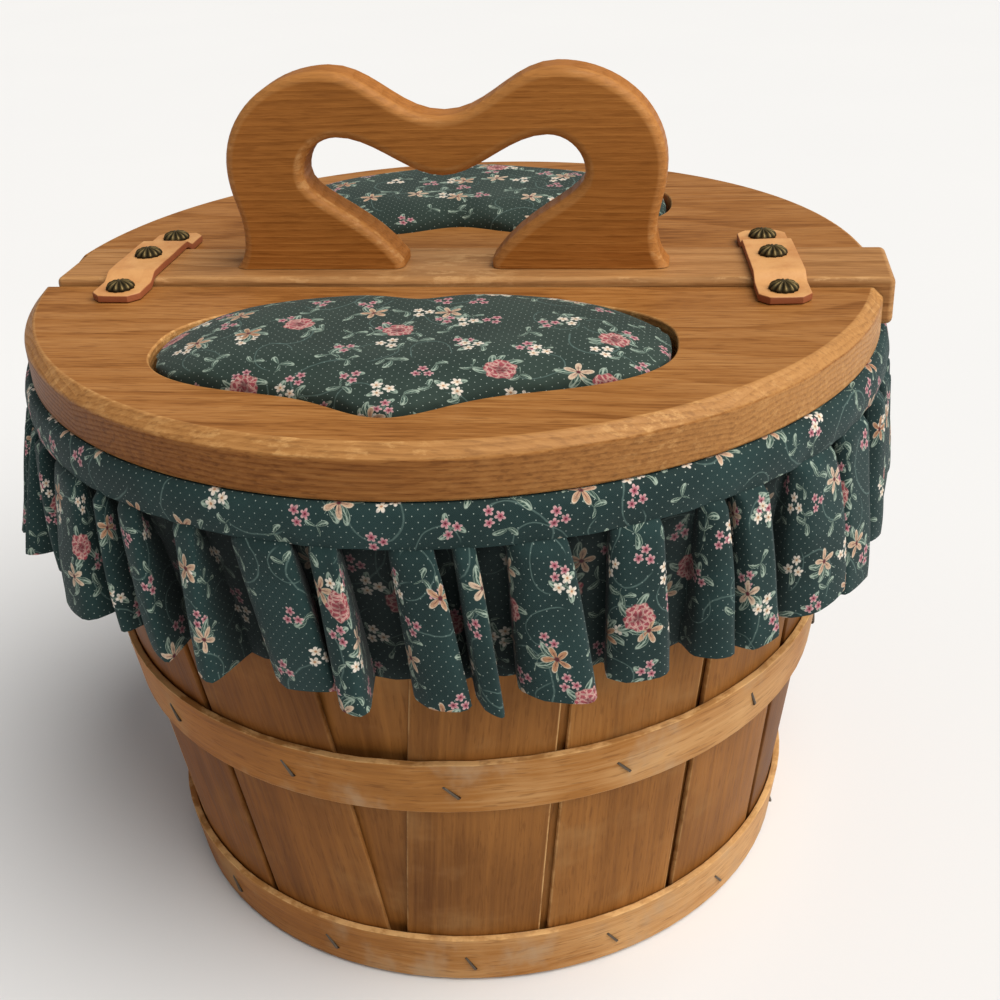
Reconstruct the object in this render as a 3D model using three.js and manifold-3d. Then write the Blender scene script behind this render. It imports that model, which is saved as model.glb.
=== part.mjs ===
// Wood slat basket with two padded half lids, leather strap hinges and a heart-shaped board handle.
// Millimetres, +Z up. The origin is the centre of the underside, the bar runs along X and the front faces -Y.
import * as THREE from 'three';
import { mergeVertices } from 'three/addons/utils/BufferGeometryUtils.js';
import Module from 'manifold-3d';

const wasm = await Module();
wasm.setup();

// Clearances between pieces that touch on the real basket.
const seatGap = 0.3;
const layerGap = 0.4;
const clothGap = 0.5;

// Basket wall: tapered rings of slats round a solid bottom.
const wallHeight = 238;
const baseRadius = 136.8;
const wallFlare = 31.4;
const slatCount = 15;
const slatThickness = 2.6;
const innerSlatThickness = 2;
const firstJointAngle = -6.3;
const jointGapAngle = 1.3;
const slatLeanAngle = 6.2;
const slatLeanWaves = 3;
const slatLeanPhase = 0.26;
const wedgeEvery = 5;
const wedgeOpenAngle = 17.5;
const innerSlatReach = 0.42;
const slatFacets = 5;
const innerSlatFacets = 4;
const slatTiers = 3;

// Solid bottom.
const baseThickness = 12;

// Bent hoops. Each one is a strip with a scarfed joint round the back.
const hoopWidth = 24.5;
const hoopThickness = 3;
const hoopTipThickness = 0.7;
const hoopScarfSteps = 5;
const hoopSteps = 60;
const bottomHoopLift = 1;
const middleHoopLift = 100.5;
const bottomHoopJoint = 155;
const middleHoopJoint = 195;
const outerRimHoopJoint = 170;
const innerRimHoopJoint = 185;

// Cloth band over the rim, and the ruffle sewn to its lower edge.
const clothThickness = 1.6;
const bandDrop = 15;
const bandTuck = 30;
const bandSegments = 60;
const ruffleDrop = 58;
const ruffleFlare = 1;
const ruffleFolds = 36;
const ruffleStepsPerFold = 6;
const ruffleGather = 1;
const ruffleFullness = 9;
const ruffleDrift = 0.9;
const ruffleDriftWaves = 3;
const ruffleFlutterWaves = 7;
const ruffleFlutterShare = 0.25;

// Half lids, cut from one disc on both sides of the bar.
const lidOverhang = 0.4;
const lidThickness = 19;
const lidRound = 4.2;
const lidSegments = 84;
const roundSteps = 3;
const hingeGap = 1;

// Heart cut-out of each lid and its padded insert.
const heartRimMargin = 22.6;
const heartBarMargin = 15;
const heartSideMargin = 77.4;
const heartShiftX = -4.4;
const heartTurn = 2.1;
const heartSquareness = 2.5;
const heartPointDepth = 16.7;
const heartPointWidth = 24;
const heartNotchDepth = 13;
const heartNotchWidth = 22;
const heartSteps = 60;
const padRebateWidth = 5;
const padRebateDepth = 6;
const padEdgeDrop = 5;
const padCrown = 12;
const padCrownRings = 5;
const padFootShare = 0.97;
const padEdgeShare = 0.985;

// Bar across the middle, set a little forward and to the right.
const barWidth = 40;
const barThickness = 19;
const barEndInset = 3.5;
const barShiftX = 6;
const barShiftY = -5;
const barLift = 3.4;
const barEase = 2.5;
const cleatWidth = 30;
const cleatDepth = 22;
const cleatHeight = 34;

// Handle, a board cut to the top of a heart. Heights are above the bar.
const handleThickness = 19;
const handleRound = 4;
const handleTop = 78;
const handleHumpX = 45;
const handleDipTop = 60;
const handleDipUnder = 37;
const handleHalfWidth = 87.6;
const handleWidestZ = 39.5;
const handleWaistX = 83.7;
const handleWaistZ = 14.2;
const handleFootX = 88.5;
const handleFootSink = 12;
const handleToeX = 18;
const handleToeZ = 3;
const holeHumpX = 41.5;
const holeTop = 52.3;
const holeSideX = 56;
const holeSideZ = 38;
const handleCurveSteps = 5;

// How far each curve of the handle's outline pulls before it turns, outside and then round the hole.
const footPull = 3;
const waistRisePull = 9.5;
const widestFallPull = 10.5;
const shoulderRisePull = 22.8;
const humpOutwardPull = 22;
const humpInwardPull = 18;
const dipPull = 18;
const toeOutwardPull = 14;
const toeRisePull = 20;
const holeFallPull = 10.5;
const holeRisePull = 7.6;
const holeHumpOutwardPull = 8;
const holeHumpInwardPull = 15;
const holeDipPull = 14;

// Leather strap hinges, splayed towards the front, and their fluted dome nails.
const strapInset = 43;
const leftStrapSplay = 0.5;
const rightStrapSplay = 5;
const strapLength = 83;
const strapWidth = 20;
const strapThickness = 3;
const strapClip = 4;
const strapRampRun = 6;
const nailPitch = 32.5;
const nailRadius = 5.8;
const nailHeight = 3.2;
const nailFlutes = 12;
const nailFluteDepth = 0.45;

// Points closer than this are one point in a boolean.
const weldDistance = 1e-4;

// Heights and reaches that the pieces share.
const bandTop = wallHeight + clothGap + clothThickness;
const lidBottom = bandTop + seatGap;
const lidTop = lidBottom + lidThickness;
const barBottom = bandTop + barLift;
const barTop = barBottom + barThickness;
const frontHingeReach = barWidth / 2 + hingeGap - barShiftY;
const backHingeReach = barWidth / 2 + hingeGap + barShiftY;
const rimRadius = baseRadius + wallFlare + layerGap + hoopThickness;
const lidRadius = rimRadius + lidOverhang;
const barLength = 2 * (lidRadius - barEndInset);
const strapX = lidRadius - strapInset;
const heartNear = frontHingeReach + heartBarMargin;
const heartHalfWidth = lidRadius - heartSideMargin;
const heartHalfDepth = (lidRadius - heartRimMargin - heartPointDepth - heartNear) / 2;
const heartCentre = heartNear + heartHalfDepth;

// Finishes.
const finish = (color, roughness, metalness = 0) =>
  new THREE.MeshStandardMaterial({ color, roughness, metalness });
const lidWood = () => finish(0x9a6433, 0.45);
const slatWood = () => finish(0x9c6a3c, 0.6);
const hoopWood = () => finish(0xa97b4a, 0.65);
const printedCloth = () => finish(0x1f3b39, 0.95);
const leather = () => finish(0xcf9560, 0.6);
const antiqueBrass = () => finish(0x54462f, 0.4, 0.9);
const plainBoard = () => finish(0x8a6b48, 0.8);

const basket = new THREE.Group();

function addPiece(parent, name, geometry, material) {
  const mesh = new THREE.Mesh(geometry, material);
  mesh.name = name;
  parent.add(mesh);
  return mesh;
}

// Six times the signed volume of an indexed triangle list: negative where the faces point inwards.
function signedVolume(points, index) {
  let sum = 0;
  const cross = new THREE.Vector3();
  for (let i = 0; i < index.length; i += 3) {
    cross.crossVectors(points[index[i + 1]], points[index[i + 2]]);
    sum += points[index[i]].dot(cross);
  }
  return sum;
}

// Closed surface through a row of point loops. A ring joins its last loop to its first. An open row is
// capped, either by pairing each loop's two long sides or by a fan round each end loop's centre. A loop's
// two long sides are split along the same diagonals, so that thin warped walls stay clear of each other.
function skin(loops, { ring = false, cap = 'pairs' } = {}) {
  const count = loops[0].length;
  const points = loops.flat();
  const index = [];
  const bands = ring ? loops.length : loops.length - 1;
  for (let band = 0; band < bands; band += 1) {
    const here = band * count;
    const there = ((band + 1) % loops.length) * count;
    for (let i = 0; i < count; i += 1) {
      const next = (i + 1) % count;
      if (i < count / 2) {
        index.push(here + i, here + next, there + next, here + i, there + next, there + i);
      } else {
        index.push(here + i, here + next, there + i, here + next, there + next, there + i);
      }
    }
  }
  if (!ring) {
    capLoop(points, index, 0, count, cap, true);
    capLoop(points, index, (loops.length - 1) * count, count, cap, false);
  }
  if (signedVolume(points, index) < 0) {
    index.reverse();
  }
  const geometry = new THREE.BufferGeometry().setFromPoints(points);
  geometry.setIndex(index);
  return geometry;
}

function capLoop(points, index, start, count, cap, first) {
  const addFace = (a, b, c) => (first ? index.push(a, c, b) : index.push(a, b, c));
  if (cap === 'centre') {
    const centre = new THREE.Vector3();
    for (let i = 0; i < count; i += 1) {
      centre.addScaledVector(points[start + i], 1 / count);
    }
    const middle = points.push(centre) - 1;
    for (let i = 0; i < count; i += 1) {
      addFace(start + i, start + ((i + 1) % count), middle);
    }
    return;
  }
  for (let i = 0; i < count / 2 - 1; i += 1) {
    const mate = count - 1 - i;
    addFace(start + i, start + i + 1, start + mate - 1);
    addFace(start + i, start + mate - 1, start + mate);
  }
}

// Booleans: a closed three.js geometry to a solid, and a solid back to a geometry.
function toSolid(geometry) {
  const bare = geometry.clone();
  bare.deleteAttribute('normal');
  bare.deleteAttribute('uv');
  const merged = mergeVertices(bare, weldDistance);
  return new wasm.Manifold(new wasm.Mesh({
    numProp: 3,
    vertProperties: new Float32Array(merged.attributes.position.array),
    triVerts: new Uint32Array(merged.index.array),
  }));
}

function toGeometry(solid) {
  const mesh = solid.getMesh();
  const geometry = new THREE.BufferGeometry();
  geometry.setAttribute('position', new THREE.BufferAttribute(new Float32Array(mesh.vertProperties), 3));
  geometry.setIndex(new THREE.BufferAttribute(new Uint32Array(mesh.triVerts), 1));
  return geometry;
}

// Box between two corners.
function boxBetween(low, high) {
  const size = new THREE.Vector3().subVectors(high, low);
  const middle = new THREE.Vector3().addVectors(low, high).multiplyScalar(0.5);
  return new THREE.BoxGeometry(size.x, size.y, size.z).translate(middle.x, middle.y, middle.z);
}

// Solid of revolution round Z from a profile of [radius, height] pairs.
function turned(profile, segments) {
  const points = profile.map(([radius, height]) => new THREE.Vector2(radius, height));
  return new THREE.LatheGeometry(points, segments).rotateX(Math.PI / 2);
}

// Point on the basket at an angle in degrees, counted from the front towards the right.
function atAngle(angle, radius, height) {
  const turn = THREE.MathUtils.degToRad(angle);
  return new THREE.Vector3(radius * Math.sin(turn), -radius * Math.cos(turn), height);
}

// Faces of the wall's layers at a height, from the outside in.
const wallFlareShare = (height) => (wallFlare * height) / wallHeight;
const slatOutside = (height) => baseRadius + wallFlareShare(height);
const slatInside = (height) => slatOutside(height) - slatThickness;
const innerSlatOutside = (height) => slatInside(height) - layerGap;
const innerSlatInside = (height) => innerSlatOutside(height) - innerSlatThickness;
const rimOutside = (height) => slatOutside(height) + layerGap + hoopThickness;
const rimInside = (height) => innerSlatInside(height) - layerGap - hoopThickness;

// Joint between two neighbouring slats: its middle and half its gap, in degrees, at a height. The joints
// lean to and fro round the basket, and every few joints the slats spread into an open wedge.
const slatPitch = 360 / slatCount;
function jointAngle(joint, height) {
  const lean = slatLeanAngle * Math.sin((2 * Math.PI * slatLeanWaves * joint) / slatCount + slatLeanPhase);
  return firstJointAngle + joint * slatPitch + (lean * height) / wallHeight;
}
function jointHalfGap(joint, height) {
  const opening = joint % wedgeEvery === 0 ? (wedgeOpenAngle * height) / wallHeight : 0;
  return (jointGapAngle + opening) / 2;
}

// Curved board between two edges, each a function from height to angle.
function curvedBoard(leftEdge, rightEdge, outside, thickness, facets) {
  const heights = Array.from({ length: slatTiers + 1 }, (_, tier) => (wallHeight * tier) / slatTiers);
  const loops = [];
  for (let facet = 0; facet <= facets; facet += 1) {
    const pointAt = (height, depth) => {
      const angle = THREE.MathUtils.lerp(leftEdge(height), rightEdge(height), facet / facets);
      return atAngle(angle, outside(height) - depth, height);
    };
    const outerSide = heights.map((height) => pointAt(height, 0));
    const innerSide = heights.map((height) => pointAt(height, thickness)).reverse();
    loops.push([...outerSide, ...innerSide]);
  }
  return skin(loops);
}

const twoDigits = (number) => String(number).padStart(2, '0');
for (let slat = 0; slat < slatCount; slat += 1) {
  const leftEdge = (height) => jointAngle(slat, height) + jointHalfGap(slat, height);
  const rightEdge = (height) => jointAngle(slat + 1, height) - jointHalfGap(slat + 1, height);
  const board = curvedBoard(leftEdge, rightEdge, slatOutside, slatThickness, slatFacets);
  addPiece(basket, `slat_${twoDigits(slat + 1)}`, board, slatWood());
}
for (let joint = 0; joint < slatCount; joint += 1) {
  const reachTo = (neighbour) => (height) =>
    THREE.MathUtils.lerp(jointAngle(joint, height), jointAngle(neighbour, height), innerSlatReach);
  const board = curvedBoard(
    reachTo(joint - 1), reachTo(joint + 1), innerSlatOutside, innerSlatThickness, innerSlatFacets);
  addPiece(basket, `inner_slat_${twoDigits(joint + 1)}`, board, slatWood());
}

// Solid bottom inside the slats, flush with their lower ends.
const baseFit = (height) => innerSlatInside(height) - layerGap;
const baseProfile = [
  [0, 0],
  [baseFit(0), 0],
  [baseFit(baseThickness), baseThickness],
  [0, baseThickness],
];
addPiece(basket, 'base_disc', turned(baseProfile, hoopSteps), slatWood());

// Bent hoop against a face of the wall. side is 1 outside the wall and -1 inside it. Both ends are
// skived, so that the joint is no thicker than the strip.
function bentHoop(lowerEdge, face, side, jointAt) {
  const stepAngle = 360 / hoopSteps;
  const overlapRise = hoopThickness - 2 * hoopTipThickness - seatGap;
  const loops = [];
  for (let step = 0; step <= hoopSteps + hoopScarfSteps; step += 1) {
    const started = Math.min(step / hoopScarfSteps, 1);
    const finished = Math.max((step - hoopSteps) / hoopScarfSteps, 0);
    const far = step <= hoopScarfSteps ? hoopTipThickness + overlapRise * started : hoopThickness;
    const near = step >= hoopSteps ? hoopTipThickness + seatGap + overlapRise * finished : 0;
    const pointAt = (depth, height) =>
      atAngle(jointAt + step * stepAngle, face(height) + side * (layerGap + depth), height);
    const upperEdge = lowerEdge + hoopWidth;
    loops.push([
      pointAt(near, lowerEdge),
      pointAt(near, upperEdge),
      pointAt(far, upperEdge),
      pointAt(far, lowerEdge),
    ]);
  }
  return skin(loops);
}

const rimHoopLift = wallHeight - hoopWidth;
addPiece(basket, 'bottom_hoop', bentHoop(bottomHoopLift, slatOutside, 1, bottomHoopJoint), hoopWood());
addPiece(basket, 'middle_hoop', bentHoop(middleHoopLift, slatOutside, 1, middleHoopJoint), hoopWood());
addPiece(basket, 'top_hoop_outer', bentHoop(rimHoopLift, slatOutside, 1, outerRimHoopJoint), hoopWood());
const innerRimHoop = bentHoop(rimHoopLift, innerSlatInside, -1, innerRimHoopJoint);
addPiece(basket, 'top_hoop_inner', innerRimHoop, hoopWood());

// Cloth band folded over the rim: a longer leg inside, a shorter one outside.
const bandBottom = bandTop - bandDrop;
const bandInnerEnd = bandTop - bandTuck;
const bandUnder = wallHeight + clothGap;
const bandOutside = (height) => rimOutside(height) + clothGap + clothThickness;
const bandInside = (height) => rimInside(height) - clothGap - clothThickness;
const bandProfile = [
  [bandOutside(bandBottom), bandBottom],
  [bandOutside(bandUnder), bandUnder],
  [bandOutside(bandUnder) - clothThickness, bandTop],
  [bandInside(bandUnder) + clothThickness, bandTop],
  [bandInside(bandUnder), bandUnder],
  [bandInside(bandInnerEnd), bandInnerEnd],
  [bandInside(bandInnerEnd) + clothThickness, bandInnerEnd],
  [bandInside(bandUnder) + clothThickness, bandUnder],
  [bandOutside(bandUnder) - clothThickness, bandUnder],
  [bandOutside(bandBottom) - clothThickness, bandBottom],
  [bandOutside(bandBottom), bandBottom],
];
addPiece(basket, 'rim_band', turned(bandProfile, bandSegments), printedCloth());

// Gathered ruffle: tight small waves at the seam that open into uneven folds at the hem.
function ruffleWave(turn) {
  const drift = ruffleDrift * Math.sin(ruffleDriftWaves * turn);
  const flutter = 1 - ruffleFlutterShare * (1 + Math.sin(ruffleFlutterWaves * turn)) / 2;
  return flutter * Math.sin(ruffleFolds * turn + drift);
}
function gatheredRuffle() {
  const top = bandBottom - seatGap;
  const bottom = top - ruffleDrop;
  const seamRadius = bandOutside(bandBottom) + ruffleGather;
  const hemRadius = seamRadius + ruffleFlare;
  const steps = ruffleFolds * ruffleStepsPerFold;
  const loops = [];
  for (let step = 0; step < steps; step += 1) {
    const angle = (360 * step) / steps;
    const wave = ruffleWave(THREE.MathUtils.degToRad(angle));
    const seam = seamRadius + ruffleGather * wave;
    const hem = hemRadius + ruffleFullness * wave;
    loops.push([
      atAngle(angle, seam, top),
      atAngle(angle, seam - clothThickness, top),
      atAngle(angle, hem - clothThickness, bottom),
      atAngle(angle, hem, bottom),
    ]);
  }
  return skin(loops, { ring: true });
}
addPiece(basket, 'ruffle', gatheredRuffle(), printedCloth());

// Extrusions: along X from a (y, z) outline, and along Y, about y = 0, from an (x, z) outline.
const alongX = new THREE.Matrix4().makeBasis(
  new THREE.Vector3(0, 1, 0), new THREE.Vector3(0, 0, 1), new THREE.Vector3(1, 0, 0));
const alongY = new THREE.Matrix4().makeBasis(
  new THREE.Vector3(1, 0, 0), new THREE.Vector3(0, 0, 1), new THREE.Vector3(0, -1, 0));

function rectangle(width, height) {
  const shape = new THREE.Shape();
  shape.moveTo(-width / 2, 0);
  shape.lineTo(width / 2, 0);
  shape.lineTo(width / 2, height);
  shape.lineTo(-width / 2, height);
  shape.closePath();
  return shape;
}

// Bar across the rim, its edges and ends eased all round.
const barPlan = rectangle(barLength, barThickness);
const barBoard = new THREE.ExtrudeGeometry(barPlan, {
  depth: barWidth - 2 * barEase,
  bevelThickness: barEase,
  bevelSize: barEase,
  bevelOffset: -barEase,
  bevelSegments: roundSteps,
});
barBoard.applyMatrix4(alongY).translate(barShiftX, barShiftY + barWidth / 2 - barEase, barBottom);
addPiece(basket, 'centre_bar', barBoard, lidWood());

// Cleats inside the rim under the bar's ends, hollowed to the round of the cloth.
const cleatTop = barBottom - seatGap;
const cleatFoot = cleatTop - cleatHeight;
const cleatReach = (height) => bandInside(Math.min(height, bandUnder)) - clothGap;
const cleatRound = turned([
  [0, cleatFoot],
  [cleatReach(cleatFoot), cleatFoot],
  [cleatReach(cleatTop), cleatTop],
  [0, cleatTop],
], bandSegments);
for (const [name, side] of [['cleat_left', -1], ['cleat_right', 1]]) {
  const innerX = cleatReach(cleatFoot) - cleatDepth;
  const outerX = cleatReach(cleatTop) + cleatDepth;
  const block = boxBetween(
    new THREE.Vector3(Math.min(side * innerX, side * outerX), barShiftY - cleatWidth / 2, cleatFoot),
    new THREE.Vector3(Math.max(side * innerX, side * outerX), barShiftY + cleatWidth / 2, cleatTop));
  addPiece(basket, name, toGeometry(toSolid(block).intersect(toSolid(cleatRound))), plainBoard());
}

// Handle outline, right half. Each curve runs on from the one before it.
const curve = (...numbers) => {
  const points = [];
  for (let i = 0; i < numbers.length; i += 2) {
    points.push(new THREE.Vector2(numbers[i], numbers[i + 1]));
  }
  return new THREE.CubicBezierCurve(...points);
};
const outerHalf = [
  curve(handleFootX, 0, handleFootX - footPull, footPull,
    handleWaistX, handleWaistZ / 2, handleWaistX, handleWaistZ),
  curve(handleWaistX, handleWaistZ, handleWaistX, handleWaistZ + waistRisePull,
    handleHalfWidth, handleWidestZ - widestFallPull, handleHalfWidth, handleWidestZ),
  curve(handleHalfWidth, handleWidestZ, handleHalfWidth, handleWidestZ + shoulderRisePull,
    handleHumpX + humpOutwardPull, handleTop, handleHumpX, handleTop),
  curve(handleHumpX, handleTop, handleHumpX - humpInwardPull, handleTop,
    dipPull, handleDipTop, 0, handleDipTop),
];
const innerHalf = [
  curve(handleToeX, handleToeZ, handleToeX + toeOutwardPull, handleToeZ + toeRisePull,
    holeSideX, holeSideZ - holeFallPull, holeSideX, holeSideZ),
  curve(holeSideX, holeSideZ, holeSideX, holeSideZ + holeRisePull,
    holeHumpX + holeHumpOutwardPull, holeTop, holeHumpX, holeTop),
  curve(holeHumpX, holeTop, holeHumpX - holeHumpInwardPull, holeTop,
    holeDipPull, handleDipUnder, 0, handleDipUnder),
];
const tracedHalf = (curves) =>
  curves.flatMap((part, i) => part.getPoints(handleCurveSteps).slice(i === 0 ? 0 : 1));
const mirrored = (points) => points.map((point) => new THREE.Vector2(-point.x, point.y));
const outerPoints = tracedHalf(outerHalf);
const innerPoints = tracedHalf(innerHalf);
const handleOutline = new THREE.Shape([
  new THREE.Vector2(handleFootX, -handleFootSink),
  ...outerPoints,
  ...mirrored(outerPoints).reverse().slice(1),
  new THREE.Vector2(-handleFootX, -handleFootSink),
  new THREE.Vector2(-handleToeX, -handleFootSink),
  ...mirrored(innerPoints),
  ...innerPoints.slice(0, -1).reverse(),
  new THREE.Vector2(handleToeX, -handleFootSink),
]);
const handleBoard = new THREE.ExtrudeGeometry(handleOutline, {
  depth: handleThickness - 2 * handleRound,
  bevelThickness: handleRound,
  bevelSize: handleRound,
  bevelOffset: -handleRound,
  bevelSegments: roundSteps,
});
handleBoard.applyMatrix4(alongY).translate(0, handleThickness / 2 - handleRound, 0);
const belowBar = boxBetween(
  new THREE.Vector3(-2 * handleFootX, -handleThickness, -2 * handleFootSink),
  new THREE.Vector3(2 * handleFootX, handleThickness, 0));
const standingBoard = toGeometry(toSolid(handleBoard).subtract(toSolid(belowBar)));
const handle = addPiece(basket, 'handle', standingBoard, lidWood());
handle.position.set(0, barShiftY, barTop + seatGap);

// Heart outline of a cut-out, in front of the axis: a squared oval with a rounded point towards the rim
// and a notch towards the bar. grow widens it all round.
function heartPoints(grow) {
  const halfWidth = heartHalfWidth + grow;
  const halfDepth = heartHalfDepth + grow;
  const points = [];
  for (let step = 0; step < heartSteps; step += 1) {
    const turn = (2 * Math.PI * step) / heartSteps;
    const across = Math.cos(turn);
    const x = halfWidth * across;
    const rise = (1 - Math.abs(across) ** heartSquareness) ** (1 / heartSquareness);
    const toBar = Math.sign(Math.sin(turn)) * rise;
    const bump = toBar < 0
      ? heartPointDepth * Math.exp(-((x / heartPointWidth) ** 2))
      : heartNotchDepth * Math.exp(-((x / heartNotchWidth) ** 2));
    points.push(new THREE.Vector2(x, halfDepth * toBar - bump * Math.abs(toBar)));
  }
  return points;
}
function heartPrism(grow, low, high) {
  const outline = new THREE.Shape(heartPoints(grow));
  const prism = new THREE.ExtrudeGeometry(outline, { depth: high - low, bevelEnabled: false });
  return prism.translate(0, -heartCentre, low);
}

// Padded insert: sides drawn in a little, then a crown that swells above the lid.
function paddedInsert(floor) {
  const outline = heartPoints(-clothGap);
  const edge = lidTop - padEdgeDrop;
  const ringAt = (share, height) =>
    outline.map((point) => new THREE.Vector3(point.x * share, point.y * share - heartCentre, height));
  const loops = [ringAt(padFootShare, floor), ringAt(1, (floor + edge) / 2), ringAt(padEdgeShare, edge)];
  for (let ring = 1; ring <= padCrownRings; ring += 1) {
    const share = Math.cos(((Math.PI / 2) * ring) / (padCrownRings + 1));
    loops.push(ringAt(share, edge + padCrown * (1 - share ** 3)));
  }
  return skin(loops, { cap: 'centre' });
}

// One half lid with its insert, built in front of the axis and turned to the back for the other.
const lidProfile = [[0, lidBottom], [lidRadius, lidBottom]];
for (let step = 0; step <= roundSteps; step += 1) {
  const turn = (Math.PI / 2) * (step / roundSteps);
  lidProfile.push([lidRadius - lidRound * (1 - Math.cos(turn)), lidTop - lidRound * (1 - Math.sin(turn))]);
}
lidProfile.push([0, lidTop]);
const lidDisc = toSolid(turned(lidProfile, lidSegments));
const rebateTop = lidBottom + padRebateDepth;

// The heart is moved along the bar and then turned a little about the basket's axis.
function addLid(name, hingeReach, turn, heartX) {
  const setHeart = (geometry) =>
    geometry.translate(heartX, 0, 0).rotateZ(THREE.MathUtils.degToRad(heartTurn));
  const side = new THREE.Group();
  side.rotation.z = turn;
  const half = toSolid(boxBetween(
    new THREE.Vector3(-2 * lidRadius, -2 * lidRadius, 0),
    new THREE.Vector3(2 * lidRadius, -hingeReach, 2 * lidTop)));
  const opening = toSolid(setHeart(heartPrism(0, 0, 2 * lidTop)));
  const rebate = toSolid(setHeart(heartPrism(padRebateWidth, 0, rebateTop)));
  const board = lidDisc.intersect(half).subtract(opening).subtract(rebate);
  addPiece(side, `lid_${name}`, toGeometry(board), lidWood());
  const panelTop = rebateTop - seatGap;
  const panel = setHeart(heartPrism(padRebateWidth - layerGap, lidBottom, panelTop));
  addPiece(side, `pad_board_${name}`, panel, plainBoard());
  const pad = setHeart(paddedInsert(panelTop + seatGap));
  addPiece(side, `pad_${name}`, pad, printedCloth());
  basket.add(side);
}
addLid('front', frontHingeReach, 0, heartShiftX);
addLid('back', backHingeReach, Math.PI, -heartShiftX);

// Leather strap: flat on the bar, down a short ramp to each lid, its corners clipped.
const strapOnLid = lidTop + seatGap;
const strapOnBar = barTop + seatGap;
const barEdge = barWidth / 2;
const rampShift = strapOnBar > strapOnLid ? 0 : strapRampRun + hingeGap + barEase;
const rampTopY = barEdge - barEase / 2 - rampShift;
const rampFootY = barEdge + strapRampRun - rampShift;
function strapGeometry() {
  const under = [
    [-strapLength / 2, strapOnLid],
    [-rampFootY, strapOnLid],
    [-rampTopY, strapOnBar],
    [rampTopY, strapOnBar],
    [rampFootY, strapOnLid],
    [strapLength / 2, strapOnLid],
  ];
  const over = under.map(([y, z]) => [y, z + strapThickness]).reverse();
  const outline = new THREE.Shape([...under, ...over].map(([y, z]) => new THREE.Vector2(y, z)));
  const strip = new THREE.ExtrudeGeometry(outline, { depth: strapWidth, bevelEnabled: false });
  strip.applyMatrix4(alongX).translate(-strapWidth / 2, 0, 0);
  const halfWidth = strapWidth / 2;
  const halfLength = strapLength / 2;
  const plan = new THREE.Shape();
  plan.moveTo(-halfWidth, -halfLength + strapClip);
  plan.lineTo(-halfWidth + strapClip, -halfLength);
  plan.lineTo(halfWidth - strapClip, -halfLength);
  plan.lineTo(halfWidth, -halfLength + strapClip);
  plan.lineTo(halfWidth, halfLength - strapClip);
  plan.lineTo(halfWidth - strapClip, halfLength);
  plan.lineTo(-halfWidth + strapClip, halfLength);
  plan.lineTo(-halfWidth, halfLength - strapClip);
  plan.closePath();
  const trim = new THREE.ExtrudeGeometry(plan, { depth: 2 * strapOnBar, bevelEnabled: false });
  return toGeometry(toSolid(strip).intersect(toSolid(trim)));
}

// Dome nail head whose edge and crown are fluted. Its flat underside is at z = 0. The dome's rings are
// shares of the nail's radius and height.
const nailDome = [[0.96, 0], [1, 0.22], [0.86, 0.62], [0.5, 0.93]];
function nailGeometry() {
  const steps = 2 * nailFlutes;
  const loops = nailDome.map(([radiusShare, heightShare]) => {
    const loop = [];
    for (let step = 0; step < steps; step += 1) {
      const groove = step % 2 === 0 ? 0 : nailFluteDepth;
      loop.push(atAngle((360 * step) / steps, radiusShare * (nailRadius - groove), heightShare * nailHeight));
    }
    return loop;
  });
  return skin(loops, { cap: 'centre' });
}

for (const [side, sign, splay] of [['left', -1, leftStrapSplay], ['right', 1, rightStrapSplay]]) {
  const hinge = new THREE.Group();
  hinge.position.set(sign * strapX, barShiftY, 0);
  hinge.rotation.z = THREE.MathUtils.degToRad(sign * splay);
  addPiece(hinge, `strap_${side}`, strapGeometry(), leather());
  const seats = [['front', -nailPitch, strapOnLid], ['bar', 0, strapOnBar], ['back', nailPitch, strapOnLid]];
  for (const [place, y, seat] of seats) {
    const nail = addPiece(hinge, `nail_${side}_${place}`, nailGeometry(), antiqueBrass());
    nail.position.set(0, y, seat + strapThickness + seatGap);
  }
  basket.add(hinge);
}

export default basket;
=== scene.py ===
"""Looks of a wood slat basket with padded half lids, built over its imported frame."""

import logging
import math
from dataclasses import dataclass, field
from enum import Enum, IntEnum
from itertools import accumulate
from typing import Callable, Sequence, Union

import bmesh
import bpy
from mathutils import Matrix, Vector, noise


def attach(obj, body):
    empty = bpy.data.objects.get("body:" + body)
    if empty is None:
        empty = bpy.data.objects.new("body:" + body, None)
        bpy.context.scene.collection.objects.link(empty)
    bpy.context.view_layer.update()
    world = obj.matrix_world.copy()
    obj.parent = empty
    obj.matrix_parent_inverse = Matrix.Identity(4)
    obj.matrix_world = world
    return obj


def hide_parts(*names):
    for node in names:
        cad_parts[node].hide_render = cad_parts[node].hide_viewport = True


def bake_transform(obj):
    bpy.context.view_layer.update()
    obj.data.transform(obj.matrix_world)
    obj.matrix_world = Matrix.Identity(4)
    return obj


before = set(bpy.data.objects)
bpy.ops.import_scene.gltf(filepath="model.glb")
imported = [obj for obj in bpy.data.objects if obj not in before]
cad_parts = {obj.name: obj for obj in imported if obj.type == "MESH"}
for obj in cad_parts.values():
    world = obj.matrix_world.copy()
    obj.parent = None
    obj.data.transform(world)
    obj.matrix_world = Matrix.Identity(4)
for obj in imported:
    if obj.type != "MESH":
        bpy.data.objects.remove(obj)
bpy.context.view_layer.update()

MM = 0.001
HAIR = 0.01 * MM
MICRON = 0.001 * MM
log = logging.getLogger("basket")

Number = Union[float, int]
Colour = tuple[float, float, float, float]
Point = tuple[float, float]


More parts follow.
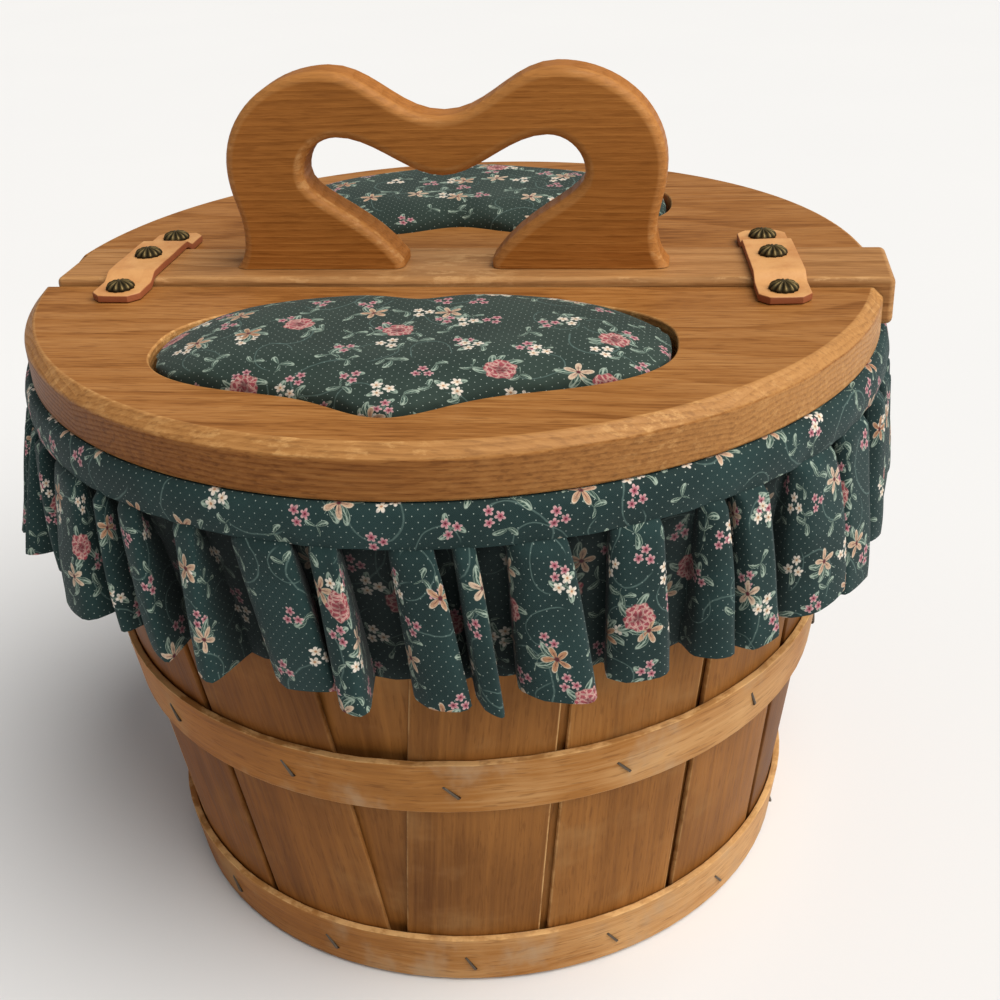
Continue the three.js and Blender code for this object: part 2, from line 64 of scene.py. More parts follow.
def srgb(red: int, green: int, blue: int) -> Colour:
    """Turns a colour given in 0 to 255 screen values into linear light.

    Args:
        red: Red share on screen.
        green: Green share on screen.
        blue: Blue share on screen.

    Returns:
        The colour with full alpha.
    """
    shares = [channel / 255 for channel in (red, green, blue)]
    linear = [s / 12.92 if s <= 0.04045 else ((s + 0.055) / 1.055) ** 2.4 for s in shares]
    return (linear[0], linear[1], linear[2], 1.0)


class Draw(IntEnum):
    """What a repeatable random number is drawn for."""

    SLAT_TONE = 3
    HOOP_TONE = 5
    SLAT_BOW = 9
    FOLD_WIDTH = 21
    FOLD_DEPTH = 22
    FOLD_LEAN = 23
    FOLD_TILT = 24
    FOLD_SLANT = 25
    PUCKER = 26
    FOLD_TUBE = 27
    FOLD_TUCK = 28
    EDGE_WEAR = 31


def chance(index: int, salt: int) -> float:
    """Gives the same number from 0 to 1 for an index and a salt on every run."""
    return math.modf(abs(math.sin(index * 12.9898 + salt * 78.233) * 43758.5453))[0]


def lerp(start: float, end: float, share: float) -> float:
    """Goes from start to end by a share from 0 to 1."""
    return start + (end - start) * share


def ease(share: float) -> float:
    """Smooths a share that is first held between 0 and 1."""
    held = min(1.0, max(0.0, share))
    return held * held * (3 - 2 * held)


def at_angle(angle: float, radius: float, height: float) -> Vector:
    """Places a point round the basket.

    Args:
        angle: Degrees from the front towards the right.
        radius: Distance from the basket's axis, in metres.
        height: Height above the floor, in metres.

    Returns:
        The point in the row frame.
    """
    turn = math.radians(angle)
    return Vector((radius * math.sin(turn), -radius * math.cos(turn), height))


def run_lengths(points: Sequence[Point]) -> list[float]:
    """Adds up the way along a flat line of points, from 0 at the first."""
    return list(accumulate((math.dist(a, b) for a, b in zip(points, points[1:])), initial=0.0))


def follow(corners: Sequence[Point], runs: Sequence[float], distance: float) -> Point:
    """Finds the place at a distance along a line.

    Args:
        corners: The line's corners.
        runs: The way along the line to each corner.
        distance: The way along the line to the place.

    Returns:
        The place, or the last corner beyond the end.
    """
    for before, after, low, high in zip(corners, corners[1:], runs, runs[1:]):
        if distance <= high:
            share = (distance - low) / (high - low)
            return lerp(before[0], after[0], share), lerp(before[1], after[1], share)
    return corners[-1]


def math_method(operation: str, swapped: bool = False) -> Callable[..., "Value"]:
    """Makes a method of a value that adds a Math node.

    Args:
        operation: The node's operation.
        swapped: Whether the other operand comes first, as in a reflected form.

    Returns:
        The method.
    """

    def method(value: "Value", *others: "Operand") -> "Value":
        """Adds the node for the value and the other operand, if there is one."""
        fed = (*others, value) if swapped else (value, *others)
        return value.shader.math(operation, *fed)

    return method


class Value:
    """A node's output, whose operators add Math nodes. A comparison gives 1 where it holds, or else 0."""

    __add__, __radd__ = math_method("ADD"), math_method("ADD", True)
    __sub__, __rsub__ = math_method("SUBTRACT"), math_method("SUBTRACT", True)
    __mul__, __rmul__ = math_method("MULTIPLY"), math_method("MULTIPLY", True)
    __truediv__, __rtruediv__ = math_method("DIVIDE"), math_method("DIVIDE", True)
    __pow__ = math_method("POWER")
    __abs__ = math_method("ABSOLUTE")
    __lt__ = math_method("LESS_THAN")
    __gt__ = math_method("GREATER_THAN")
    floor = math_method("FLOOR")
    fraction = math_method("FRACT")
    cosine = math_method("COSINE")
    sine = math_method("SINE")

    def __init__(self, shader: "Shader", socket: bpy.types.NodeSocket) -> None:
        """Keeps the shader that owns the socket."""
        self.shader = shader
        self.socket = socket

    def clamped(self) -> "Value":
        """Holds the value between 0 and 1."""
        return self.shader.math("MINIMUM", self.shader.math("MAXIMUM", self, 0.0), 1.0)

    def rise(self, low: float, high: float) -> "Value":
        """Goes smoothly from 0 at low to 1 at high."""
        settings = {"interpolation_type": "SMOOTHSTEP"}
        sockets = {"Value": self, "From Min": low, "From Max": high}
        return self.shader.out(self.shader.node("ShaderNodeMapRange", settings, sockets))


Operand = Union[Value, Number]
Feed = Union[Value, Number, Sequence[float], str]


class Shader:
    """Node tree of one material, written as expressions."""

    def __init__(self, name: str) -> None:
        """Starts a material with its own surface shader.

        Args:
            name: The material's name.
        """
        self.material = bpy.data.materials.new(name)
        self.material.use_nodes = True
        self.tree = self.material.node_tree
        self.surface = next(n for n in self.tree.nodes if n.type == "BSDF_PRINCIPLED")

    def node(self, kind: str, settings: dict | None = None, sockets: dict | None = None) -> bpy.types.Node:
        """Adds any node.

        Args:
            kind: The node's type name.
            settings: Its own settings, set first. "stops" fills a ramp.
            sockets: Values or links of its inputs, by name or place.

        Returns:
            The new node.
        """
        made = self.tree.nodes.new(kind)
        for key, setting in (settings or {}).items():
            if key == "stops":
                self._fill_ramp(made.color_ramp, setting)
            else:
                setattr(made, key, setting)
        for key, fed in (sockets or {}).items():
            self.feed(made.inputs[key], fed)
        return made

    @staticmethod
    def _fill_ramp(ramp: bpy.types.ColorRamp, stops: Sequence[tuple[float, Colour]]) -> None:
        """Sets a ramp's stops, each a place and a colour."""
        while len(ramp.elements) < len(stops):
            ramp.elements.new(1.0)
        for element, (place, colour) in zip(ramp.elements, stops):
            element.position = place
            element.color = colour

    def feed(self, socket: bpy.types.NodeSocket, fed: Feed) -> None:
        """Links a value to a socket, or sets the socket to a constant."""
        if isinstance(fed, Value):
            self.tree.links.new(fed.socket, socket)
        else:
            socket.default_value = fed

    def set(self, **sockets: Feed) -> None:
        """Feeds the surface shader, with underscores for the spaces in its sockets' names."""
        for name, fed in sockets.items():
            self.feed(self.surface.inputs[name.replace("_", " ")], fed)

    def out(self, made: bpy.types.Node, place: Union[int, str] = 0) -> Value:
        """Wraps one of a node's outputs."""
        return Value(self, made.outputs[place])

    def math(self, operation: str, *fed: Operand) -> Value:
        """Adds a Math node."""
        return self.out(self.node("ShaderNodeMath", {"operation": operation}, dict(enumerate(fed))))

    def vector(self, operation: str, *fed: Feed) -> Value:
        """Adds a Vector Math node."""
        return self.out(self.node("ShaderNodeVectorMath", {"operation": operation}, dict(enumerate(fed))))

    def length(self, x: Value, y: Value) -> Value:
        """Gives the length of a vector in a plane."""
        return self.math("SQRT", x * x + y * y)

    def ramp(self, share: Value, *stops: tuple[float, Colour]) -> Value:
        """Turns a share into a colour, by stops of a place and a colour each."""
        return self.out(self.node("ShaderNodeValToRGB", {"stops": stops}, {"Fac": share}))

    def mix(self, share: Feed, low: Feed, high: Feed, blend: str = "MIX") -> Value:
        """Mixes two colours.

        Args:
            share: How much of the second colour shows.
            low: The colour at share 0.
            high: The colour at share 1.
            blend: How the second colour is laid on the first.

        Returns:
            The mixed colour.
        """
        settings = {"data_type": "RGBA", "blend_type": blend, "clamp_factor": True}
        return self.out(self.node("ShaderNodeMix", settings, {0: share, 6: low, 7: high}), 2)

    def join(self, x: Operand, y: Operand, z: Operand) -> Value:
        """Makes a vector of three values."""
        return self.out(self.node("ShaderNodeCombineXYZ", {}, {0: x, 1: y, 2: z}))

    def split(self, vector: Value) -> tuple[Value, Value, Value]:
        """Takes a vector apart."""
        made = self.node("ShaderNodeSeparateXYZ", {}, {0: vector})
        return self.out(made, 0), self.out(made, 1), self.out(made, 2)

    def place(self) -> Value:
        """Gives the piece's own coordinates, in metres."""
        return self.out(self.node("ShaderNodeTexCoord"), "Object")

    def chart(self, name: str) -> Value:
        """Gives the piece's UV map of that name."""
        return self.out(self.node("ShaderNodeUVMap", {"uv_map": name}))

    def painted(self, name: str) -> Value:
        """Gives a number stored on the piece's points."""
        return self.out(self.node("ShaderNodeAttribute", {"attribute_name": name}), "Fac")

    def noise(
        self, vector: Value, stretch: Sequence[float], detail: float = 3.0, rough: float = 0.5
    ) -> Value:
        """Adds fractal noise.

        Args:
            vector: Where it is read.
            stretch: Waves per metre along each axis.
            detail: Number of octaves.
            rough: How strongly the fine octaves show.

        Returns:
            The noise, about 0.5 on average.
        """
        scaled = self.vector("MULTIPLY", vector, tuple(stretch))
        sockets = {"Vector": scaled, "Scale": 1.0, "Detail": detail, "Roughness": rough}
        return self.out(self.node("ShaderNodeTexNoise", {}, sockets), "Fac")

    def draw(self, vector: Value) -> tuple[Value, Value, Value]:
        """Draws three random numbers from 0 to 1 for a vector."""
        made = self.node("ShaderNodeTexWhiteNoise", {"noise_dimensions": "3D"}, {"Vector": vector})
        return self.split(self.out(made, "Color"))

    def bump(self, height: Value, distance: float) -> None:
        """Feeds the surface's normal from a height, of which 1 stands for a distance in metres."""
        sockets = {"Height": height, "Distance": distance, "Strength": 1.0}
        self.set(Normal=self.out(self.node("ShaderNodeBump", {}, sockets)))


@dataclass(frozen=True)
class BoardWood:
    """Varnished solid wood whose growth rings run through the whole board."""

    name: str
    dark: Colour
    middle: Colour
    light: Colour
    # pale colour where the number 'wear' is high: real wear, and on the lids also painted highlight and
    # painted light
    worn_and_lit: Colour
    board_width: float = 74 * MM
    ring_pitch: float = 3.1 * MM
    heart_depth: float = 46 * MM
    ring_show: float = 0.12
    figure: float = 1.0
    pore_show: float = 0.5
    roughness: float = 0.46
    coat: float = 0.03
    seed: float = 0.0
    # tint multiplied in where the number 'deep' is high: a painted shade on the side away from the sun
    painted_shade_tint: Colour = (0.6, 0.48, 0.32, 1.0)
    relief: float = 0.2 * MM

    def material(self) -> bpy.types.Material:
        """Builds the finish.

        Returns:
            The material, with grain along X and boards side by side along Y.
        """
        shader = Shader(self.name)
        place = shader.vector("ADD", shader.place(), (self.seed, 0.013 * self.seed, 0.0))
        along, across, up = shader.split(place)
        board = ((across + 0.5) / self.board_width).floor()
        first, second, third = shader.draw(shader.join(board, self.seed, 0.0))
        middle_line = (board + first) * self.board_width - 0.5
        wander = shader.noise(shader.join(along, across, up + 3 * second), (4.5, 16, 16), 2.0)
        ripple = shader.noise(place, (14, 70, 70), 2.0)
        depth = up + self.heart_depth * (0.6 + second)
        side = across - middle_line
        reach = shader.length(side, depth)
        rings = (reach + 0.014 * wander + 0.0016 * ripple) / self.ring_pitch
        saw = rings.fraction()
        late = saw.rise(0.3, 0.9) - saw.rise(0.91, 1.0)
        streak = shader.noise(place, (9, 560, 560), 4.0, 0.7)
        dashes = shader.noise(place, (52, 760, 760), 3.0, 0.7)
        pores = shader.noise(place, (78, 980, 980), 2.0, 0.6)
        patch = shader.noise(place, (6, 24, 24), 3.0)
        fine = 0.4 * (streak - 0.5) + 0.55 * (dashes - 0.5)
        tone = 0.5 + self.figure * (fine + 0.24 * (patch - 0.5) + 0.1 * (third - 0.5))
        ringed = tone - self.ring_show * (late - 0.3)
        grained = shader.ramp(ringed, (0.24, self.dark), (0.5, self.middle), (0.78, self.light))
        grained = shader.mix(self.pore_show * pores.rise(0.54, 0.68), grained, self.dark)
        # painted shade: the number 'deep' darkens the wood on the side away from the sun
        grained = shader.mix(shader.painted("deep").clamped(), grained, self.painted_shade_tint, "MULTIPLY")
        scuffs = shader.noise(place, (85, 230, 230), 5.0, 0.7).rise(0.5, 0.64)
        rubbed = shader.noise(place, (16, 22, 22), 3.0).rise(0.35, 0.62)
        # pale worn colour, which on the lids also carries painted highlight and painted light
        bare = shader.painted("wear") * (0.24 + 0.6 * scuffs * rubbed)
        colour = shader.mix(bare.clamped(), grained, self.worn_and_lit)
        shader.set(
            Base_Color=colour,
            Roughness=self.roughness + 0.14 * (streak - 0.5) + 0.1 * late,
            Coat_Weight=self.coat,
            Coat_Roughness=0.3,
            Specular_IOR_Level=0.1,
        )
        shader.bump(0.4 * late + 0.6 * pores + 0.4 * streak, self.relief)
        return shader.material


@dataclass(frozen=True)
class BentVeneer:
    """Thin bent wood: grain follows the strip's own chart, and each strip has its tone."""

    name: str
    dark: Colour
    middle: Colour
    light: Colour
    stain: Colour
    # pale edge colour where the number 'wear' is high: real wear and raw wood, and a painted highlight where
    # the edges catch the light
    edge: Colour = srgb(228, 182, 122)
    upright: bool = True
    stain_share: float = 0.3
    roughness: float = 0.5
    # tint multiplied in where the number 'deep' is high: a painted shade on the side away from the sun
    painted_shade_tint: Colour = (0.92, 0.72, 0.42, 1.0)
    relief: float = 0.18 * MM

    def material(self) -> bpy.types.Material:
        """Builds the finish.

        Returns:
            The material, read from the chart named "grain" and the number named "tone".
        """
        shader = Shader(self.name)
        chart = shader.chart("grain")
        across, up, _ = shader.split(chart)
        tone = shader.painted("tone")
        flow = (across, up) if self.upright else (up, across)
        sway = shader.noise(shader.join(flow[0], flow[1], tone), (18, 5, 3), 2.0)
        grain = shader.join(flow[0] + 0.012 * sway, flow[1], 5 * tone)
        band = shader.noise(grain, (95, 2.6, 1), 3.0, 0.55)
        streak = shader.noise(grain, (620, 13, 1), 3.0, 0.6)
        fleck = shader.noise(grain, (1050, 95, 1), 2.0, 0.6)
        cloud = shader.noise(grain, (16, 11, 1), 3.0, 0.55)
        shade = 0.5 + 0.3 * (band - 0.5) + 0.36 * (streak - 0.5) + 0.6 * (cloud - 0.5) + 0.42 * (tone - 0.5)
        grained = shader.ramp(shade, (0.2, self.dark), (0.52, self.middle), (0.82, self.light))
        flecked = shader.mix(0.42 * fleck.rise(0.53, 0.7), grained, self.dark)
        blotch = shader.noise(grain, (26, 34, 1), 4.0, 0.6).rise(0.5, 0.72)
        stained = shader.mix(self.stain_share * blotch, flecked, self.stain)
        # painted shade: the number 'deep' darkens the strip on the side away from the sun
        side_shaded = shader.mix(shader.painted("deep").clamped(), stained, self.painted_shade_tint, "MULTIPLY")
        chipped = shader.noise(grain, (90, 60, 1), 4.0, 0.7).rise(0.42, 0.58)
        # pale edges: real wear and chips, and a painted highlight where the edges catch the light
        colour = shader.mix((shader.painted("wear") * (0.2 + 0.65 * chipped)).clamped(), side_shaded, self.edge)
        shader.set(
            Base_Color=colour,
            Roughness=self.roughness + 0.2 * (streak - 0.5) + 0.12 * blotch,
            Specular_IOR_Level=0.1,
        )
        shader.bump(0.6 * streak + 0.5 * fleck + 0.5 * band, self.relief)
        return shader.material


class Chart(Enum):
    """Where a printed cloth reads its pattern."""

    FLAT_CUT = "cut"
    PLAN = "plan"


@dataclass(frozen=True)
class Layer:
    """One scatter of a motif over the cloth. Sizes are in millimetres."""

    pitch: float
    share: float
    size: float
    seed: float
    jitter: float = 0.45


@dataclass
class Cloth:
    """A cloth being printed: the place on it, in millimetres, and its colour so far."""

    shader: Shader
    across: Value
    down: Value
    colour: Value

    def lay(self, mask: Feed, ink: Feed) -> None:
        """Prints an ink where a mask is 1."""
        self.colour = self.shader.mix(mask, self.colour, ink)

    def scatter(self, layer: Layer) -> tuple[Value, Value, Value, Value]:
        """Scatters one motif place to a cell.

        Args:
            layer: How the motif is scattered.

        Returns:
            Distance from the motif's centre in motif sizes, the angle round it, whether the cell has
            one, and a random number of its own.
        """
        shader = self.shader
        row_slide = 0.37 * layer.seed
        tall = self.down / layer.pitch + 1.31 * layer.seed
        row = tall.floor()
        wide = self.across / layer.pitch + row * row_slide + 0.73 * layer.seed
        column = wide.floor()
        first, second, third = shader.draw(shader.join(column, row, layer.seed))
        local_x = wide - column - 0.5 + layer.jitter * (first - 0.5)
        local_y = tall - row - 0.5 + layer.jitter * (second - 0.5)
        reach = shader.length(local_x, local_y) * (layer.pitch / layer.size)
        angle = shader.math("ARCTAN2", local_y, local_x) + math.tau * third
        own, kept, _ = shader.draw(shader.join(row, column, layer.seed + 11.0))
        return reach, angle, kept < layer.share, own


@dataclass(frozen=True)
class PrintedCotton:
    """Dark teal cotton with pin dots and small scattered flowers. Sizes of the print are in millimetres."""

    name: str
    chart: Chart
    ground: Colour = srgb(24, 45, 44)
    ground_light: Colour = srgb(33, 57, 56)
    dot: Colour = srgb(190, 204, 194)
    leaf: Colour = srgb(158, 174, 158)
    leaf_dark: Colour = srgb(50, 74, 66)
    vine: Colour = srgb(92, 114, 108)
    cream: Colour = srgb(222, 204, 180)
    peach: Colour = srgb(178, 130, 96)
    blossom: Colour = srgb(232, 224, 214)
    pink: Colour = srgb(168, 88, 104)
    pale_pink: Colour = srgb(214, 176, 174)
    rose: Colour = srgb(156, 72, 80)
    rose_light: Colour = srgb(220, 176, 164)
    rose_dark: Colour = srgb(92, 30, 40)
    # colour of the painted shade between the ruffle's folds
    shade: Colour = srgb(4, 10, 10)
    plan_middle: float = 86.85 * MM
    plan_top: float = 269.0 * MM
    plan_slope: float = 60.0 * MM
    dot_pitch: float = 3.8
    dot_row: float = 1.9
    wobble: float = 1.6
    thread_waves: float = 9000.0
    relief: float = 0.06 * MM

    def material(self) -> bpy.types.Material:
        """Builds the finish.

        Returns:
            The material, printed in the plane of its chart.
        """
        shader = Shader(self.name)
        where = shader.chart(self.chart.value) if self.chart is Chart.FLAT_CUT else shader.place()
        x, y, z = shader.split(where)
        if self.chart is Chart.PLAN:
            middle = self.plan_middle * (2 * (y > 0) - 1)
            slope = 2 * ((middle - y) / self.plan_slope + 0.5).clamped() - 1
            y = y + slope * (z - self.plan_top)
        weave = (x * self.thread_waves).sine() * (y * self.thread_waves).sine()
        cloud = shader.noise(where, (34, 34, 34), 3.0)
        ground = shader.mix(cloud.rise(0.3, 0.75), self.ground, self.ground_light)
        cloth = Cloth(shader, x * (1 / MM), y * (1 / MM), ground)
        self._dots(cloth)
        bare = cloth.colour
        cloth.across = cloth.across + self.wobble * (shader.noise(where, (150, 150, 150), 2.0) - 0.5)
        cloth.down = cloth.down + self.wobble * (shader.noise(where, (130, 170, 150), 2.0) - 0.5)
        self._vines(cloth, Layer(37, 0.8, 12, 1.7))
        self._vines(cloth, Layer(29, 0.75, 9.0, 8.1))
        self._sprigs(cloth, Layer(15, 0.55, 4.4, 2.3))
        self._sprigs(cloth, Layer(20, 0.6, 5.6, 9.7))
        self._cluster(cloth, Layer(20, 0.55, 1.75, 3.9), self.pale_pink, self.pink, self.rose_dark)
        self._cluster(cloth, Layer(26, 0.62, 2.05, 5.2), self.blossom, self.cream, self.peach)
        self._daisies(cloth, Layer(25, 0.6, 5.2, 6.6))
        self._roses(cloth, Layer(41, 0.62, 5.2, 7.4))
        brush = shader.noise(where, (620, 620, 620), 3.0, 0.7).rise(0.3, 0.6)
        colour = shader.mix((0.62 + 0.38 * brush).clamped(), bare, cloth.colour)
        # painted shade: darkens the cloth where the number 'hollow' is high, deep between the ruffle's folds
        colour = shader.mix((0.82 * shader.painted("hollow")).clamped(), colour, self.shade)
        shader.set(
            Base_Color=colour,
            Roughness=0.84 + 0.1 * (cloud - 0.5),
            Sheen_Weight=0.06,
            Sheen_Roughness=0.5,
            Specular_IOR_Level=0.22,
        )
        shader.bump(0.5 + 0.5 * weave, self.relief)
        return shader.material

    @staticmethod
    def _petals(
        reach: Value, angle: Value, count: int, waist: float, point: float, soft: float = 0.1
    ) -> tuple[Value, Value]:
        """Makes a ring of petals of radius 1.

        Args:
            reach: Distance from the centre.
            angle: Angle round the centre.
            count: Number of petals.
            waist: Radius between the petals.
            point: How narrow the petals are.
            soft: Width of the blurred edge.

        Returns:
            The mask, 1 inside the petals, and how far inside their rim a place is, from 0 to 1.
        """
        lobe = abs((angle * (count / 2)).cosine()) ** point
        within = waist + (1 - waist) * lobe - reach
        return (within / soft + 0.5).clamped(), within.rise(0.02, 0.13)

    def _dots(self, cloth: Cloth) -> None:
        """Prints pin dots in staggered rows."""
        row = (cloth.down / self.dot_row).floor()
        x = (cloth.across / self.dot_pitch + 0.5 * row).fraction() - 0.5
        y = (cloth.down / self.dot_row).fraction() - 0.5
        reach = cloth.shader.length(x * self.dot_pitch, y * self.dot_row)
        cloth.lay(0.7 * (1 - reach.rise(0.08, 0.25)), self.dot)

    def _vines(self, cloth: Cloth, layer: Layer) -> None:
        """Prints thin curling stems."""
        reach, angle, kept, own = cloth.scatter(layer)
        wave = reach + 0.16 * (angle * 2 + 6 * own).sine()
        line = 1 - abs(wave - 0.9).rise(0.006, 0.042)
        open_part = (angle + math.tau * own).cosine().rise(-0.6, -0.2)
        cloth.lay(0.7 * line * open_part * kept, self.vine)

    def _leaves(self, cloth: Cloth, reach: Value, angle: Value, count: int, kept: Value) -> None:
        """Prints a whorl of leaves of radius 1, pale at the rim and the rib."""
        bent = angle + 0.5 * reach
        leaf, inner = self._petals(reach, bent, count, 0.02, 10 / count, 0.07)
        swing = bent * (count / 2)
        rib = abs(swing.cosine()).rise(0.985, 0.999)
        veins = (reach * 30 + abs(swing.sine()) * 12).sine().rise(0.45, 0.95)
        dark = (inner * (1 - rib) * (1 - 0.5 * veins)).clamped()
        cloth.lay(leaf * kept, cloth.shader.mix(dark, self.leaf, self.leaf_dark))

    def _sprigs(self, cloth: Cloth, layer: Layer) -> None:
        """Prints loose leaves, one to three on a stem."""
        reach, angle, kept, own = cloth.scatter(layer)
        shown = ((angle + 2.6 * own).cosine() > -0.55) * kept
        self._leaves(cloth, reach, angle, 3, shown)

    def _cluster(self, cloth: Cloth, layer: Layer, rim: Colour, petal: Colour, eye: Colour) -> None:
        """Prints threes of small five-petal blossoms.

        Args:
            cloth: The cloth being printed.
            layer: How the blossoms are scattered.
            rim: The colour of the petals' edges.
            petal: The petals' colour.
            eye: The colour of their middles.
        """
        shader = cloth.shader
        reach, angle, kept, own = cloth.scatter(layer)
        self._leaves(cloth, reach * 0.34, angle + 1.0, 3, kept * (own > 0.45))
        third = math.tau / 3
        folded = ((angle / third).fraction() - 0.5) * third
        out_x = reach * folded.cosine() - 1.3
        out_y = reach * folded.sine()
        small = shader.length(out_x, out_y)
        turn = shader.math("ARCTAN2", out_y, out_x) + 3 * own
        mask, inner = self._petals(small, turn, 5, 0.3, 0.7, 0.16)
        tint = shader.mix(inner * (1 - 0.7 * small.rise(0.3, 0.8)), rim, petal)
        tint = shader.mix(1 - small.rise(0.14, 0.3), tint, eye)
        cloth.lay(mask * kept, tint)

    def _daisies(self, cloth: Cloth, layer: Layer) -> None:
        """Prints five-petal flowers with a leaf or two behind them."""
        shader = cloth.shader
        reach, angle, kept, own = cloth.scatter(layer)
        shown = ((angle + math.tau * own).cosine() > 0.1) * kept
        self._leaves(cloth, reach * 0.66, angle + 0.5, 5, shown)
        mask, inner = self._petals(reach, angle, 5, 0.12, 1.5)
        tint = shader.mix(inner * (0.35 + 0.65 * own), self.cream, self.peach)
        rib = abs((angle * 2.5).cosine()).rise(0.955, 0.998)
        tint = shader.mix(0.75 * rib * (1 - reach.rise(0.35, 0.8)), tint, self.rose_dark)
        tint = shader.mix(1 - reach.rise(0.1, 0.24), tint, self.rose_dark)
        cloth.lay(mask * kept, tint)

    def _roses(self, cloth: Cloth, layer: Layer) -> None:
        """Prints full roses with leaves behind them."""
        shader = cloth.shader
        reach, angle, kept, own = cloth.scatter(layer)
        shown = ((angle + math.tau * own).cosine() > -0.5) * kept
        self._leaves(cloth, reach * 0.58, angle + 1.1, 5, shown)
        ruffled = reach + 0.06 * (angle * 5 + 4 * own).sine() + 0.05 * (angle * 9).sine()
        mask = ((1 - ruffled) / 0.1 + 0.5).clamped()
        flat = shader.join(reach * angle.cosine() + 9 * own, reach * angle.sine(), 0.0)
        curl = shader.noise(flat, (2.6, 2.6, 2.6), 2.0)
        flat = shader.vector("ADD", flat, shader.join(0.5 * curl, 0.5 * curl * curl, 0.0))
        settings = {"voronoi_dimensions": "2D", "feature": "DISTANCE_TO_EDGE"}
        inside = shader.out(shader.node("ShaderNodeTexVoronoi", settings, {"Vector": flat, "Scale": 2.5}))
        fleshed = inside.rise(0.03, 0.26) + 0.9 * (curl - 0.45)
        tint = shader.mix(fleshed.clamped(), self.rose_light, self.rose)
        tint = shader.mix(0.8 * (1 - inside.rise(0.0, 0.05)), tint, self.rose_dark)
        tint = shader.mix(0.75 * (1 - ruffled.rise(0.1, 0.6)), tint, self.rose_dark)
        cloth.lay(mask * kept, tint)


@dataclass(frozen=True)
class StrapLeather:
    """Undyed strap leather with a darker cut edge."""

    name: str = "strap_leather"
    face: Colour = srgb(216, 160, 100)
    dusk: Colour = srgb(190, 128, 72)
    edge: Colour = srgb(140, 66, 42)
    relief: float = 0.14 * MM

    def material(self) -> bpy.types.Material:
        """Builds the finish.

        Returns:
            The material, with the cut edge where the number "wear" is 1.
        """
        shader = Shader(self.name)
        place = shader.place()
        cloud = shader.noise(place, (60, 60, 60), 4.0, 0.6)
        grain = shader.noise(place, (900, 900, 900), 3.0, 0.6)
        colour = shader.mix(cloud.rise(0.35, 0.72), self.face, self.dusk)
        colour = shader.mix(0.25 * grain.rise(0.5, 0.8), colour, self.dusk)
        colour = shader.mix((0.85 * shader.painted("wear")).clamped(), colour, self.edge)
        shader.set(Base_Color=colour, Roughness=0.52 + 0.2 * (grain - 0.5), Specular_IOR_Level=0.4)
        shader.bump(0.6 * grain + 0.4 * cloud, self.relief)
        return shader.material


@dataclass(frozen=True)
class AgedMetal:
    """Metal with dark grime in its hollows and bare high spots."""

    name: str
    bright: Colour
    grime: Colour
    roughness: float
    relief: float = 0.08 * MM

    def material(self) -> bpy.types.Material:
        """Builds the finish.

        Returns:
            The material, darker where the number "wear" is 0.
        """
        shader = Shader(self.name)
        place = shader.place()
        cloud = shader.noise(place, (500, 500, 500), 3.0, 0.6)
        bare = (shader.painted("wear") * 0.9 + 0.5 * (cloud - 0.5)).clamped()
        shader.set(
            Base_Color=shader.mix(bare, self.grime, self.bright),
            Metallic=0.9,
            Roughness=self.roughness + 0.25 * (1 - bare),
        )
        shader.bump(cloud, self.relief)
        return shader.material


